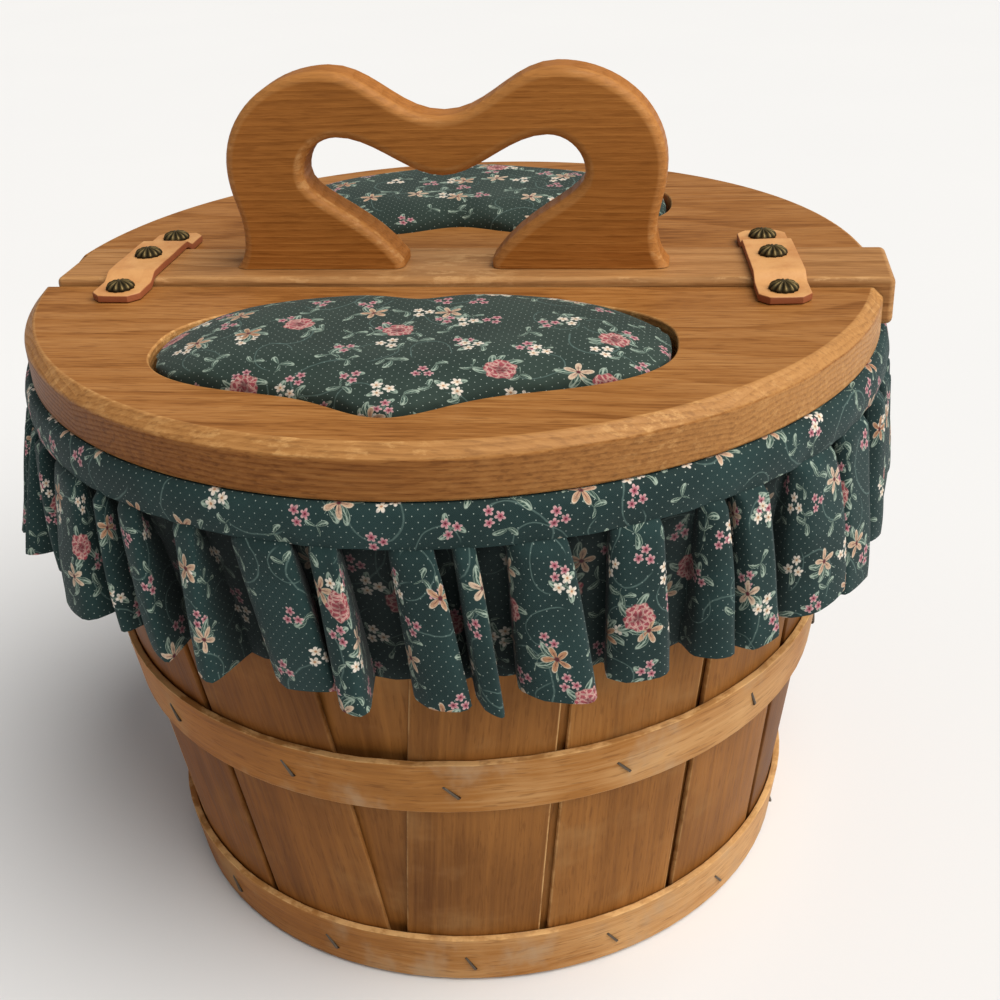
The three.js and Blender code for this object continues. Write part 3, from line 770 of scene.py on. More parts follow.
class Bench:
    """A mesh being modelled in edit mode, as on a work bench."""

    def __init__(self, name: str) -> None:
        """Clears the bench for a piece.

        Args:
            name: The piece's name.
        """
        self.name = name
        self.piece: bpy.types.Object | None = None
        if bpy.context.mode != "OBJECT":
            bpy.ops.object.mode_set(mode="OBJECT")
        bpy.ops.object.select_all(action="DESELECT")

    def _take(self, size: Sequence[float]) -> "Bench":
        """Adopts the primitive just added, at its size, and opens it for editing."""
        self.piece = bpy.context.view_layer.objects.active
        self.piece.name = self.name
        self.piece.data.name = self.name
        self.piece.scale = size
        bpy.ops.object.transform_apply(location=True, rotation=True, scale=True)
        bpy.ops.object.mode_set(mode="EDIT")
        return self

    def _pick(self) -> None:
        """Selects the piece alone and makes it active."""
        bpy.ops.object.select_all(action="DESELECT")
        bpy.context.view_layer.objects.active = self.piece
        self.piece.select_set(True)

    def _updated(self) -> "Bench":
        """Hands the open mesh's changes to the piece."""
        bmesh.update_edit_mesh(self.piece.data)
        return self

    def box(self, low: Vector, high: Vector) -> "Bench":
        """Starts from a box between two corners."""
        bpy.ops.mesh.primitive_cube_add(size=1, location=(low + high) / 2)
        return self._take(high - low)

    def ring(self, count: int, radius: float, centre: Vector, tilt: float = 0.0) -> "Bench":
        """Starts from a filled circle, tipped about X by a tilt in radians."""
        bpy.ops.mesh.primitive_circle_add(
            vertices=count, radius=radius, fill_type="NGON", location=centre, rotation=(tilt, 0, 0)
        )
        return self._take((1, 1, 1))

    def cut(self, columns: int, rows: int, length: float, depth: float) -> "Bench":
        """Starts from a flat cut of cloth, a grid with its corner at the origin and its chart in metres."""
        centre = Vector((length / 2, depth / 2, 0))
        bpy.ops.mesh.primitive_grid_add(x_subdivisions=columns, y_subdivisions=rows, size=1, location=centre)
        self._take((length, depth, 1))
        return self.chart(Chart.FLAT_CUT.value, lambda co: (co.x, co.y))

    def adopt(self, mesh: bpy.types.Mesh) -> "Bench":
        """Starts from a merged copy of a solid's mesh."""
        self.piece = bpy.data.objects.new(self.name, mesh.copy())
        self.piece.data.name = self.name
        bpy.context.scene.collection.objects.link(self.piece)
        return self.open().weld()

    def mesh(self) -> bmesh.types.BMesh:
        """Gives the mesh that is open for editing."""
        return bmesh.from_edit_mesh(self.piece.data)

    def all(self) -> "Bench":
        """Selects everything."""
        bpy.ops.mesh.select_all(action="SELECT")
        return self

    def edges(self, test: Callable[[Vector, Vector], bool]) -> "Bench":
        """Selects the edges whose two ends pass a test."""
        bpy.ops.mesh.select_mode(type="EDGE")
        bpy.ops.mesh.select_all(action="DESELECT")
        mesh = self.mesh()
        for edge in mesh.edges:
            edge.select_set(test(edge.verts[0].co, edge.verts[1].co))
        mesh.select_flush_mode()
        return self._updated()

    def extrude(self, by: Sequence[float]) -> "Bench":
        """Extrudes what is selected."""
        bpy.ops.mesh.extrude_region_move(TRANSFORM_OT_translate={"value": tuple(by)})
        return self

    def spread(self, factor: float, centre: Vector) -> "Bench":
        """Scales what is selected in plan about a centre."""
        bpy.ops.transform.resize(value=(factor, factor, 1), center_override=centre)
        return self

    def subdivide(self, cuts: int) -> "Bench":
        """Cuts the selected edges into equal lengths."""
        bpy.ops.mesh.subdivide(number_cuts=cuts)
        return self

    def bevel(self, width: float, steps: int, wear: float = 0.0, clamp: bool = True) -> "Bench":
        """Rounds the selected edges.

        Args:
            width: How far the round reaches on both sides.
            steps: Number of facets.
            wear: Number "wear" stored along the round's middle.
            clamp: Whether short edges hold the round back.

        Returns:
            The bench.
        """
        bpy.ops.mesh.bevel(offset=width, segments=steps, profile=0.5, affect="EDGES", clamp_overlap=clamp)
        return self.paint("wear", lambda _co: wear, True) if wear > 0 else self

    def paint(self, name: str, number: Callable[[Vector], float], selected: bool = False) -> "Bench":
        """Stores a number on the points, from their places.

        Args:
            name: The number's name.
            number: Gives the number for a place.
            selected: Whether it is stored only on points that lie wholly among selected faces.

        Returns:
            The bench.
        """
        mesh = self.mesh()
        layer = mesh.verts.layers.float.get(name) or mesh.verts.layers.float.new(name)
        for vertex in mesh.verts:
            if not selected or all(face.select for face in vertex.link_faces):
                vertex[layer] = number(vertex.co)
        return self._updated()

    def chart(self, name: str, place: Callable[[Vector], Point]) -> "Bench":
        """Lays a chart over the mesh, from each point's place."""
        mesh = self.mesh()
        layer = mesh.loops.layers.uv.get(name) or mesh.loops.layers.uv.new(name)
        for face in mesh.faces:
            for loop in face.loops:
                loop[layer].uv = place(loop.vert.co)
        return self._updated()

    def bisect(self, point: Vector, outward: Vector) -> "Bench":
        """Cuts away what lies beyond a plane and closes the cut."""
        self.all()
        bpy.ops.mesh.bisect(plane_co=point, plane_no=outward, use_fill=True, clear_outer=True)
        return self

    def shape(self, move: Callable[[Vector], Vector]) -> "Bench":
        """Bends the whole mesh by moving each point."""
        mesh = self.mesh()
        for vertex in mesh.verts:
            vertex.co = move(vertex.co)
        mesh.normal_update()
        return self._updated()

    def outline(self, points: Sequence[Vector]) -> "Bench":
        """Draws a ring's points out to an outline, in order."""
        mesh = self.mesh()
        mesh.verts.ensure_lookup_table()
        for vertex, point in zip(mesh.verts, points):
            vertex.co = point
        mesh.normal_update()
        return self._updated()

    def weld(self, distance: float = HAIR) -> "Bench":
        """Merges points that coincide and turns the faces outwards."""
        self.all()
        bpy.ops.mesh.remove_doubles(threshold=distance)
        bpy.ops.mesh.normals_make_consistent(inside=False)
        return self

    def close(self) -> "Bench":
        """Leaves edit mode."""
        bpy.ops.object.mode_set(mode="OBJECT")
        return self

    def open(self) -> "Bench":
        """Goes back into edit mode."""
        self._pick()
        bpy.ops.object.mode_set(mode="EDIT")
        return self

    def apply(self, kind: str, **settings: object) -> "Bench":
        """Adds a modifier in object mode and applies it.

        Args:
            kind: The modifier's type.
            **settings: Its settings.

        Returns:
            The bench.
        """
        self._pick()
        modifier = self.piece.modifiers.new(kind.title(), kind)
        for key, setting in settings.items():
            setattr(modifier, key, setting)
        bpy.ops.object.modifier_apply(modifier=modifier.name)
        return self

    def carve(self, cutter: "Bench") -> "Bench":
        """Cuts another closed piece out of this one and puts the cutter away."""
        cutter.close()
        self.apply("BOOLEAN", operation="DIFFERENCE", solver="EXACT", object=cutter.piece)
        bpy.data.objects.remove(cutter.piece)
        return self

    def smooth(self, angle: float, weighted: bool = True) -> "Bench":
        """Shades the piece smooth except at edges sharper than an angle in degrees."""
        self._pick()
        bpy.ops.object.shade_smooth_by_angle(angle=math.radians(angle))
        return self.apply("WEIGHTED_NORMAL", keep_sharp=True, weight=90) if weighted else self

    def dress(self, material: bpy.types.Material) -> "Bench":
        """Gives the piece one finish."""
        self.piece.data.materials.clear()
        self.piece.data.materials.append(material)
        return self

    def mount(self, body: str, nodes: Sequence[str], slot: str) -> bpy.types.Object:
        """Hangs the finished piece on its body.

        Args:
            body: The body it rides on.
            nodes: The solids it stands for.
            slot: Not used.

        Returns:
            The piece.
        """
        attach(self.piece, body)
        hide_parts(*nodes)
        log.info("made %s with %d faces", self.name, len(self.piece.data.polygons))
        return self.piece


def copied(first: bpy.types.Object, name: str, move: Matrix) -> bpy.types.Object:
    """Copies a piece with its own mesh to another place.

    Args:
        first: The piece that is copied.
        name: The copy's name.
        move: Where the copy's mesh goes.

    Returns:
        The copy.
    """
    copy = first.copy()
    copy.data = first.data.copy()
    copy.name = copy.data.name = name
    copy.data.transform(move)
    bpy.context.scene.collection.objects.link(copy)
    return copy


class Finishes:
    """Every finish of the basket, built once."""

    def __init__(self) -> None:
        """Builds the materials."""
        honey = (srgb(106, 60, 22), srgb(154, 101, 50), srgb(176, 124, 70), srgb(224, 174, 112))
        russet = (srgb(124, 80, 40), srgb(172, 122, 72), srgb(192, 144, 92), srgb(214, 168, 114))
        amber = (srgb(125, 73, 25), srgb(170, 108, 48), srgb(190, 128, 63), srgb(198, 146, 90))
        plain = (srgb(98, 66, 34), srgb(134, 96, 54), srgb(156, 120, 74), srgb(172, 136, 90))
        umber = (srgb(100, 59, 22), srgb(148, 97, 46), srgb(180, 127, 68), srgb(164, 124, 80))
        tawny = (srgb(104, 62, 24), srgb(164, 109, 52), srgb(206, 160, 106), srgb(178, 150, 118))
        lid = BoardWood("lid_wood", *honey, ring_pitch=2.0 * MM, ring_show=0.14, figure=1.2)
        bar = BoardWood("bar_wood", *russet, seed=3.7, board_width=200 * MM, figure=0.9, pore_show=0.4)
        handle = BoardWood(
            "handle_wood",
            *amber,
            seed=7.3,
            board_width=300 * MM,
            heart_depth=300 * MM,
            ring_show=0.06,
            figure=0.8,
            pore_show=0.4,
        )
        self.lid = lid.material()
        self.bar = bar.material()
        self.handle = handle.material()
        self.board = BoardWood("plain_board", *plain, seed=5.1, roughness=0.62, coat=0.0).material()
        self.slat = BentVeneer("slat_wood", *umber, stain_share=0.35).material()
        self.hoop = BentVeneer("hoop_wood", *tawny, upright=False, stain_share=0.65).material()
        # painted sheen: the pads' ground is lighter and greyer than the ruffle's, for the haze of light on
        # their upward faces
        sheen_lit_grounds = (srgb(38, 53, 47), srgb(48, 63, 56))
        self.plan_print = PrintedCotton("pad_print", Chart.PLAN, *sheen_lit_grounds).material()
        self.strip_print = PrintedCotton("ruffle_print", Chart.FLAT_CUT).material()
        self.leather = StrapLeather().material()
        self.brass = AgedMetal("antique_brass", srgb(122, 104, 66), srgb(42, 36, 22), 0.44).material()
        self.steel = AgedMetal("staple_steel", srgb(104, 94, 82), srgb(40, 32, 26), 0.42).material()


@dataclass
class SlatWall:
    """Tapered wall: upright slats, a second layer behind their joints, bent hoops and staples.

    Angles are in degrees, from the front towards the right.
    """

    finishes: Finishes
    height: float = 238 * MM
    base_radius: float = 136.8 * MM
    flare: float = 31.4 * MM
    count: int = 15
    slat_thickness: float = 2.6 * MM
    inner_thickness: float = 2.0 * MM
    layer_gap: float = 0.4 * MM
    slat_round: float = 1.0 * MM
    slat_margin: float = 0.6 * MM
    slat_bow: float = 0.5 * MM
    slat_columns: int = 9
    slat_rows: int = 7
    first_joint: float = -6.3
    joint_gap: float = 1.3
    lean: float = 6.2
    lean_waves: int = 3
    lean_phase: float = 0.26
    wedge_every: int = 5
    wedge_open: float = 17.5
    inner_reach: float = 0.42
    inner_number: int = 40
    bottom_hoop: float = 1.0 * MM
    bottom_lap: float = 155.0
    bottom_number: int = 71
    middle_hoop: float = 100.5 * MM
    middle_lap: float = 195.0
    middle_number: int = 83
    hoop_width: float = 24.5 * MM
    hoop_thickness: float = 3.0 * MM
    hoop_tip: float = 0.7 * MM
    hoop_lap: float = 30.0
    hoop_round: float = 0.5 * MM
    hoop_margin: float = 0.3 * MM
    hoop_ragged: float = 0.5 * MM
    hoop_columns: int = 259
    hoop_rows: int = 3
    lap_gap: float = 0.3 * MM
    # angle round the basket where the hoops' painted highlight is strongest, on the side facing the sun
    highlight_angle: float = 48.0
    middle_staples: float = 112.5 * MM
    middle_salt: int = 5
    bottom_staples: float = 12.5 * MM
    bottom_salt: int = 17
    staple_length: float = 11.0 * MM
    staple_depth: float = 4.0 * MM
    staple_wire: float = 0.95 * MM
    staple_columns: int = 9
    staple_place: float = 0.52
    staple_drift: float = 0.06
    staple_tilt: float = 56.0
    staple_sway: float = 22.0
    staple_lift: float = 3.0 * MM

    def outside(self, height: float) -> float:
        """Radius of the slats' outer face at a height."""
        return self.base_radius + self.flare * height / self.height

    def joint(self, number: int, height: float) -> float:
        """Angle of a joint's middle at a height."""
        wave = math.sin(math.tau * self.lean_waves * number / self.count + self.lean_phase)
        return self.first_joint + number * 360 / self.count + self.lean * wave * height / self.height

    def half_gap(self, number: int, height: float) -> float:
        """Half of a joint's opening at a height, as an angle."""
        spread = self.wedge_open * height / self.height if number % self.wedge_every == 0 else 0.0
        return (self.joint_gap + spread) / 2

    def _deep(self, co: Vector) -> float:
        """Gives the painted shade at a place: darker on the left side of the wall, away from the sun."""
        return min(1.0, max(0.0, -1.1 * co.x / self.outside(co.z) - 0.05))

    def build(self) -> None:
        """Makes the slats, the hoops and their staples, and dresses the bottom."""
        for slat in range(self.count):
            left = lambda z, n=slat: self.joint(n, z) + self.half_gap(n, z)
            right = lambda z, n=slat + 1: self.joint(n, z) - self.half_gap(n, z)
            self._slat(f"slat_{slat + 1:02d}", slat, left, right, 0.0, self.slat_thickness)
        behind = self.slat_thickness + self.layer_gap
        for joint in range(self.count):
            left = lambda z, n=joint: lerp(self.joint(n, z), self.joint(n - 1, z), self.inner_reach)
            right = lambda z, n=joint: lerp(self.joint(n, z), self.joint(n + 1, z), self.inner_reach)
            number = self.inner_number + joint
            self._slat(f"inner_slat_{joint + 1:02d}", number, left, right, behind, self.inner_thickness)
        self._hoop("bottom_hoop", self.bottom_hoop, self.bottom_lap, self.bottom_number)
        self._hoop("middle_hoop", self.middle_hoop, self.middle_lap, self.middle_number)
        self._staples("middle_staples", self.middle_staples, self.middle_salt)
        self._staples("bottom_staples", self.bottom_staples, self.bottom_salt)
        for node in ("base_disc", "cleat_left", "cleat_right", "top_hoop_outer", "top_hoop_inner"):
            dress_solid(node, self.finishes.board)

    def _slat(
        self,
        name: str,
        number: int,
        left: Callable[[float], float],
        right: Callable[[float], float],
        inset: float,
        thickness: float,
    ) -> None:
        """Makes one slat as a flat board and bends it to the wall.

        Args:
            name: The slat's name.
            number: Picks its tone and its stretch of grain.
            left: Angle of its left edge at a height.
            right: Angle of its right edge at a height.
            inset: Depth of its outer face behind the wall's outer face.
            thickness: Its thickness.
        """
        width = math.radians(abs(right(0) - left(0))) * self.base_radius
        bench = Bench(name).box(Vector((0, 0, 0)), Vector((width, thickness, self.height)))
        upright = lambda a, b: abs(a.z - b.z) > self.height / 2
        bench.edges(upright).bevel(self.slat_round, 2)
        # pale slat edges: partly real wear, partly a painted highlight where the edges catch the light
        rubbed = [0.9 * chance(2 * number + side, Draw.EDGE_WEAR) ** 1.5 for side in range(2)]
        at_edge = lambda co: min(co.x, width - co.x) < self.slat_margin
        bench.paint("wear", lambda co: rubbed[co.x > width / 2] if at_edge(co) else 0.0)
        bench.edges(lambda a, b: abs(a.x - b.x) > width / 2).subdivide(self.slat_columns)
        bench.edges(upright).subdivide(self.slat_rows)
        tone = chance(number, Draw.SLAT_TONE)
        bench.paint("tone", lambda _co: tone)
        bench.chart("grain", lambda co: (co.x + 0.41 * number + co.y, co.z))
        bow = self.slat_bow * (chance(number, Draw.SLAT_BOW) - 0.5)

        def bend(co: Vector) -> Vector:
            """Wraps a point of the flat board round the wall."""
            share = co.x / width
            angle = lerp(left(co.z), right(co.z), share)
            lift = bow * math.sin(math.pi * share)
            return at_angle(angle, self.outside(co.z) - inset - co.y + lift, co.z)

        # paints the number 'deep': a painted shade on the left side of the wall, away from the sun
        bench.shape(bend).weld().paint("deep", self._deep)
        bench.close().dress(self.finishes.slat).smooth(40)
        bench.mount("basket", [name], "slat_wood")

    def _hoop(self, name: str, low: float, joint: float, number: int) -> None:
        """Makes one hoop as a straight strip with skived ends and bends it round the wall.

        Args:
            name: The hoop's name.
            low: Height of its lower edge.
            joint: Angle where its inner end starts.
            number: Picks its tone and its stretch of grain.
        """
        span = 360 + self.hoop_lap
        length = math.radians(span) * self.outside(low)
        bench = Bench(name).box(Vector((0, 0, 0)), Vector((length, self.hoop_thickness, self.hoop_width)))
        lengthwise = lambda a, b: abs(a.x - b.x) > length / 2
        # paints the pale edges: real wear, and a painted highlight along the upper edge
        bench.edges(lengthwise).bevel(self.hoop_round, 2).paint("wear", self._hoop_wear_and_highlight)
        bench.edges(lengthwise).subdivide(self.hoop_columns)
        bench.edges(lambda a, b: abs(a.z - b.z) > self.hoop_width / 2).subdivide(self.hoop_rows)
        tone = 0.5 + 0.2 * (chance(number, Draw.HOOP_TONE) - 0.5)
        # painted highlight: the tone rises round the side of the hoop that faces the sun, so it is paler
        # there
        pale = lambda co: math.cos(math.radians(joint + span * co.x / length - self.highlight_angle))
        bench.paint("tone", lambda co: tone + 0.45 * max(0.0, pale(co)) ** 3)
        bench.chart("grain", lambda co: (co.x + 0.37 * number, co.z + co.y))
        rise = self.hoop_thickness - 2 * self.hoop_tip - self.lap_gap

        def bend(co: Vector) -> Vector:
            """Wraps a point of the straight strip round the wall."""
            turn = span * co.x / length
            started = min(turn / self.hoop_lap, 1.0)
            finished = max((turn - 360) / self.hoop_lap, 0.0)
            far = self.hoop_tip + rise * started if started < 1 else self.hoop_thickness
            near = self.hoop_tip + self.lap_gap + rise * finished if turn >= 360 else 0.0
            depth = lerp(near, far, co.y / self.hoop_thickness)
            ragged = self.hoop_ragged * noise.noise(Vector((turn * 0.35, number, co.z * 30)))
            height = low + co.z + ragged * (co.z / self.hoop_width)
            return at_angle(joint + turn, self.outside(height) + self.layer_gap + depth, height)

        # paints the number 'deep': a painted shade on the left side of the wall, away from the sun
        bench.shape(bend).weld(MICRON).paint("deep", self._deep)
        bench.close().dress(self.finishes.hoop).smooth(40)
        bench.mount("basket", [name], "hoop_wood")

    def _hoop_wear_and_highlight(self, co: Vector) -> float:
        """Tells how pale a straight strip's edges are: most along its upper edge, real wear with a painted
        highlight where the top catches the light, less along its lower one.
        """
        if self.hoop_width - co.z < self.hoop_margin:
            return 1.0
        return 0.5 if co.z < self.hoop_margin else 0.0

    def _staples(self, name: str, height: float, salt: int) -> None:
        """Makes one staple and copies it round a hoop, one to each slat.

        Args:
            name: Name of the ring of staples.
            height: Height of their middles.
            salt: Picks their small differences.
        """
        wire = self.staple_wire
        half = Vector((self.staple_length / 2, wire / 2, wire / 2))
        bench = Bench(name).box(-half, half)
        bench.edges(lambda a, b: abs(a.x - b.x) > self.staple_length / 2).subdivide(self.staple_columns)
        sunk = lambda co: self.staple_depth * (2 * co.x / self.staple_length) ** 8
        bench.shape(lambda co: co + Vector((0, sunk(co), 0)))
        level = lambda a, b: abs(a.x - b.x) > wire and abs(a.z - b.z) < MICRON
        bench.edges(lambda a, b: a.y < 0 and b.y < 0 and level(a, b)).bevel(0.3 * wire, 1)
        bench.paint("wear", lambda co: 1.0 if co.y < 0 else 0.3).close()
        first = bench.piece
        copies = []
        for slat in range(self.count):
            share = self.staple_place + self.staple_drift * (chance(slat, salt) - 0.5)
            angle = self.first_joint + (slat + share) * 360 / self.count
            tilt = math.radians(self.staple_tilt + self.staple_sway * (chance(slat, salt + 1) - 0.5))
            middle = height + self.staple_lift * (chance(slat, salt + 2) - 0.5)
            radius = self.outside(middle) + self.layer_gap + self.hoop_thickness + 0.3 * wire
            turn = Matrix.Rotation(math.radians(angle), 4, "Z") @ Matrix.Rotation(tilt, 4, "Y")
            seat = Matrix.Translation(at_angle(angle, radius, middle)) @ turn
            copies.append(copied(first, f"{name}_{slat}", seat))
        bpy.ops.object.select_all(action="DESELECT")
        bpy.data.objects.remove(first)
        for copy in copies:
            copy.select_set(True)
        bpy.context.view_layer.objects.active = copies[0]
        bpy.ops.object.join()
        bench.piece = copies[0]
        bench.piece.name = name
        bench.piece.data.name = name
        bench.dress(self.finishes.steel).smooth(50, False)
        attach(bench.piece, "basket")
        log.info("made %s with %d faces", name, len(bench.piece.data.polygons))


def dress_solid(node: str, material: bpy.types.Material) -> None:
    """Gives a solid that is shown as it is its finish.

    Args:
        node: The solid's name.
        material: Its finish.
    """
    solid = bpy.data.objects[node]
    solid.data.materials.clear()
    solid.data.materials.append(material)
    log.info("dressed %s", node)


def bezier(a: Point, b: Point, c: Point, d: Point, steps: int) -> list[Point]:
    """Traces a cubic curve.

    Args:
        a: Its start, which isn't returned.
        b: The point that the start leaves towards.
        c: The point that the end comes from.
        d: Its end.
        steps: Number of points.

    Returns:
        The points after the start, up to the end.
    """
    traced = []
    for step in range(1, steps + 1):
        t = step / steps
        parts = ((1 - t) ** 3, 3 * t * (1 - t) ** 2, 3 * t * t * (1 - t), t**3)
        traced.append(tuple(sum(w * p[axis] for w, p in zip(parts, (a, b, c, d))) for axis in (0, 1)))
    return traced


class Side(Enum):
    """Which half of the basket a lid covers."""

    FRONT = 1
    BACK = -1

    def word(self) -> str:
        """Gives the half's name as it stands in the names of pieces."""
        return self.name.lower()

    def body(self) -> str:
        """Names the body of that half's lid."""
        return f"lid_{self.word()}"


@dataclass(frozen=True)
class Heart:
    """Outline of the cut-outs: a squared oval with a point towards the rim and a notch towards the bar."""

    half_width: float = 94.6 * MM
    half_depth: float = 45.85 * MM
    centre: float = 86.85 * MM
    shift: float = -4.4 * MM
    turn: float = 2.1
    squareness: float = 2.5
    point_depth: float = 16.7 * MM
    point_width: float = 24.0 * MM
    notch_depth: float = 13.0 * MM
    notch_width: float = 22.0 * MM
    steps: int = 264

    def points(self, side: Side, grow: float, height: float) -> list[Vector]:
        """Traces the outline.

        Args:
            side: Which lid it is on.
            grow: How much wider than the cut-out it is all round.
            height: Its height.

        Returns:
            The points in order.
        """
        turns = [math.tau * step / self.steps for step in range(self.steps)]
        return [self._point(side, turn, grow, height) for turn in turns]

    def _point(self, side: Side, turn: float, grow: float, height: float) -> Vector:
        """Places one point of the outline."""
        across = math.cos(turn)
        x = (self.half_width + grow) * across
        rise = (1 - abs(across) ** self.squareness) ** (1 / self.squareness)
        y = (self.half_depth + grow) * rise
        if math.sin(turn) < 0:
            y = -y - rise * self.point_depth * math.exp(-((x / self.point_width) ** 2))
        else:
            y = y - rise * self.notch_depth * math.exp(-((x / self.notch_width) ** 2))
        return self.middle(side, height) + self._turned() @ Vector((side.value * x, side.value * y, 0))

    def _turned(self) -> Matrix:
        """Turn of the outline about the basket's axis."""
        return Matrix.Rotation(math.radians(self.turn), 3, "Z")

    def bowl(self, side: Side, co: Vector) -> float:
        """Tells how far out a point is in the plain oval without the notch, from 0 to 1."""
        local = self._turned().inverted() @ (co - self.middle(side, co.z)) * side.value
        depth = self.half_depth + (self.point_depth if local.y < 0 else 0.0)
        return math.hypot(local.x / self.half_width, local.y / depth)

    def middle(self, side: Side, height: float) -> Vector:
        """Gives the outline's centre on a lid."""
        return self._turned() @ Vector((self.shift, -side.value * self.centre, height))


@dataclass
class HalfLid:
    """Half of the round lid, with its heart cut out and a rebate under it for the insert's board."""

    finishes: Finishes
    side: Side
    heart: Heart
    radius: float = 172.0 * MM
    bottom: float = 240.4 * MM
    top: float = 259.4 * MM
    round: float = 4.2 * MM
    arris_round: float = 0.9 * MM
    under_round: float = 1.2 * MM
    chord_round: float = 0.7 * MM
    rim_steps: int = 300
    front_reach: float = 26.0 * MM
    back_reach: float = 16.0 * MM
    rebate_width: float = 5.0 * MM
    rebate_depth: float = 6.0 * MM

    @property
    def chord(self) -> float:
        """Place of the straight side along Y."""
        return -self.side.value * (self.front_reach if self.side is Side.FRONT else self.back_reach)

    def build(self) -> None:
        """Cuts the half disc, carves the heart and rounds the edges."""
        name = self.side.body()
        bench = Bench(name).ring(self.rim_steps, self.radius, Vector((0, 0, self.bottom)))
        bench.all().extrude((0, 0, self.top - self.bottom)).weld()
        bench.bisect(Vector((0, self.chord, 0)), Vector((0, self.side.value, 0))).close()
        below = self.bottom - self.rebate_depth
        cuts = ((0.0, self.top + self.rebate_depth), (self.rebate_width, self.bottom + self.rebate_depth))
        for grow, high in cuts:
            cutter = Bench("cutter").ring(self.heart.steps, self.radius, Vector())
            cutter.outline(self.heart.points(self.side, grow, below))
            cutter.all().extrude((0, 0, high - below)).weld()
            bench.carve(cutter)
        bench.open()

        def level(height: float) -> Callable[[Vector, Vector], bool]:
            """Makes a test for edges at a height."""
            return lambda a, b: abs(a.z - height) < MICRON and abs(b.z - height) < MICRON

        at_top, at_bottom = level(self.top), level(self.bottom)
        straight = lambda a, b: self._on_chord(a) and self._on_chord(b)
        curved = lambda a, b: self._on_rim(a) and self._on_rim(b) and not straight(a, b)
        bench.edges(lambda a, b: at_top(a, b) and self._inside(a) and self._inside(b))
        bench.bevel(self.arris_round, 3)
        bench.edges(lambda a, b: at_top(a, b) and curved(a, b)).bevel(self.round, 1, clamp=False)
        bench.edges(lambda a, b: self._on_arris(a) and self._on_arris(b) and abs(a.z - b.z) < MICRON)
        bench.bevel(self.arris_round, 3, clamp=False)
        # paints the number 'deep': a painted shade at the left of the rim, away from the sun
        # paints the pale colour: real wear on the chamfer, plus painted highlight on the right and painted
        # light in the cut-out
        bench.paint("wear", self._wear).paint("deep", self._deep)
        bench.edges(lambda a, b: at_bottom(a, b) and curved(a, b)).bevel(self.under_round, 3, 0.5)
        bench.edges(lambda a, b: at_top(a, b) and straight(a, b)).bevel(self.chord_round, 2, 0.5)
        bench.close().dress(self.finishes.lid).smooth(34)
        bench.mount(name, [name], "lid_wood")
        dress_solid(f"pad_board_{self.side.word()}", self.finishes.board)

    def _on_rim(self, co: Vector) -> bool:
        """Tells whether a point is on the lid's round side."""
        return abs(math.hypot(co.x, co.y) - self.radius) < HAIR

    def _on_chord(self, co: Vector) -> bool:
        """Tells whether a point is on the straight side."""
        return abs(co.y - self.chord) < HAIR

    def _inside(self, co: Vector) -> bool:
        """Tells whether a point is away from both sides, as the cut-out is."""
        return math.hypot(co.x, co.y) < self.radius - self.round and not self._on_chord(co)

    def _on_arris(self, co: Vector) -> bool:
        """Tells whether a point is on an edge of the chamfer round the top."""
        reach = math.hypot(co.x, co.y)
        upper = abs(co.z - self.top) < MICRON and abs(reach - self.radius + self.round) < 3 * HAIR
        lower = abs(co.z - self.top + self.round) < MICRON and abs(reach - self.radius) < 3 * HAIR
        return upper or lower

    def _on_chamfer(self, co: Vector) -> bool:
        """Tells whether a point is between the edges of the chamfer round the top."""
        across = self.radius - self.round < math.hypot(co.x, co.y) < self.radius - HAIR
        return across and self.top - self.round < co.z < self.top - HAIR

    def _wear(self, co: Vector) -> float:
        """Tells how pale a place is: on the chamfer, real wear with a painted highlight that grows to the
        right; at the right of the rim, a painted highlight on the side facing the sun; on the cut-out's
        wall, painted light in its shade.
        """
        right = co.x / self.radius
        # chamfer: real wear with a painted highlight growing to the right
        if self._on_chamfer(co):
            return 0.7 + 0.3 * right
        # rim: painted highlight on the right side, which faces the sun
        if self._on_rim(co):
            return max(0.0, 1.1 * right - 0.1)
        # cut-out wall: painted light in its shade
        walled = self.bottom + 1.0 * MM < co.z < self.top - HAIR
        return 0.9 if walled and self._inside(co) else 0.0

    def _deep(self, co: Vector) -> float:
        """Gives the painted shade on the rim at a place: most at the left, away from the sun."""
        return 0.6 - 0.6 * co.x / self.radius if self._on_rim(co) else 0.0


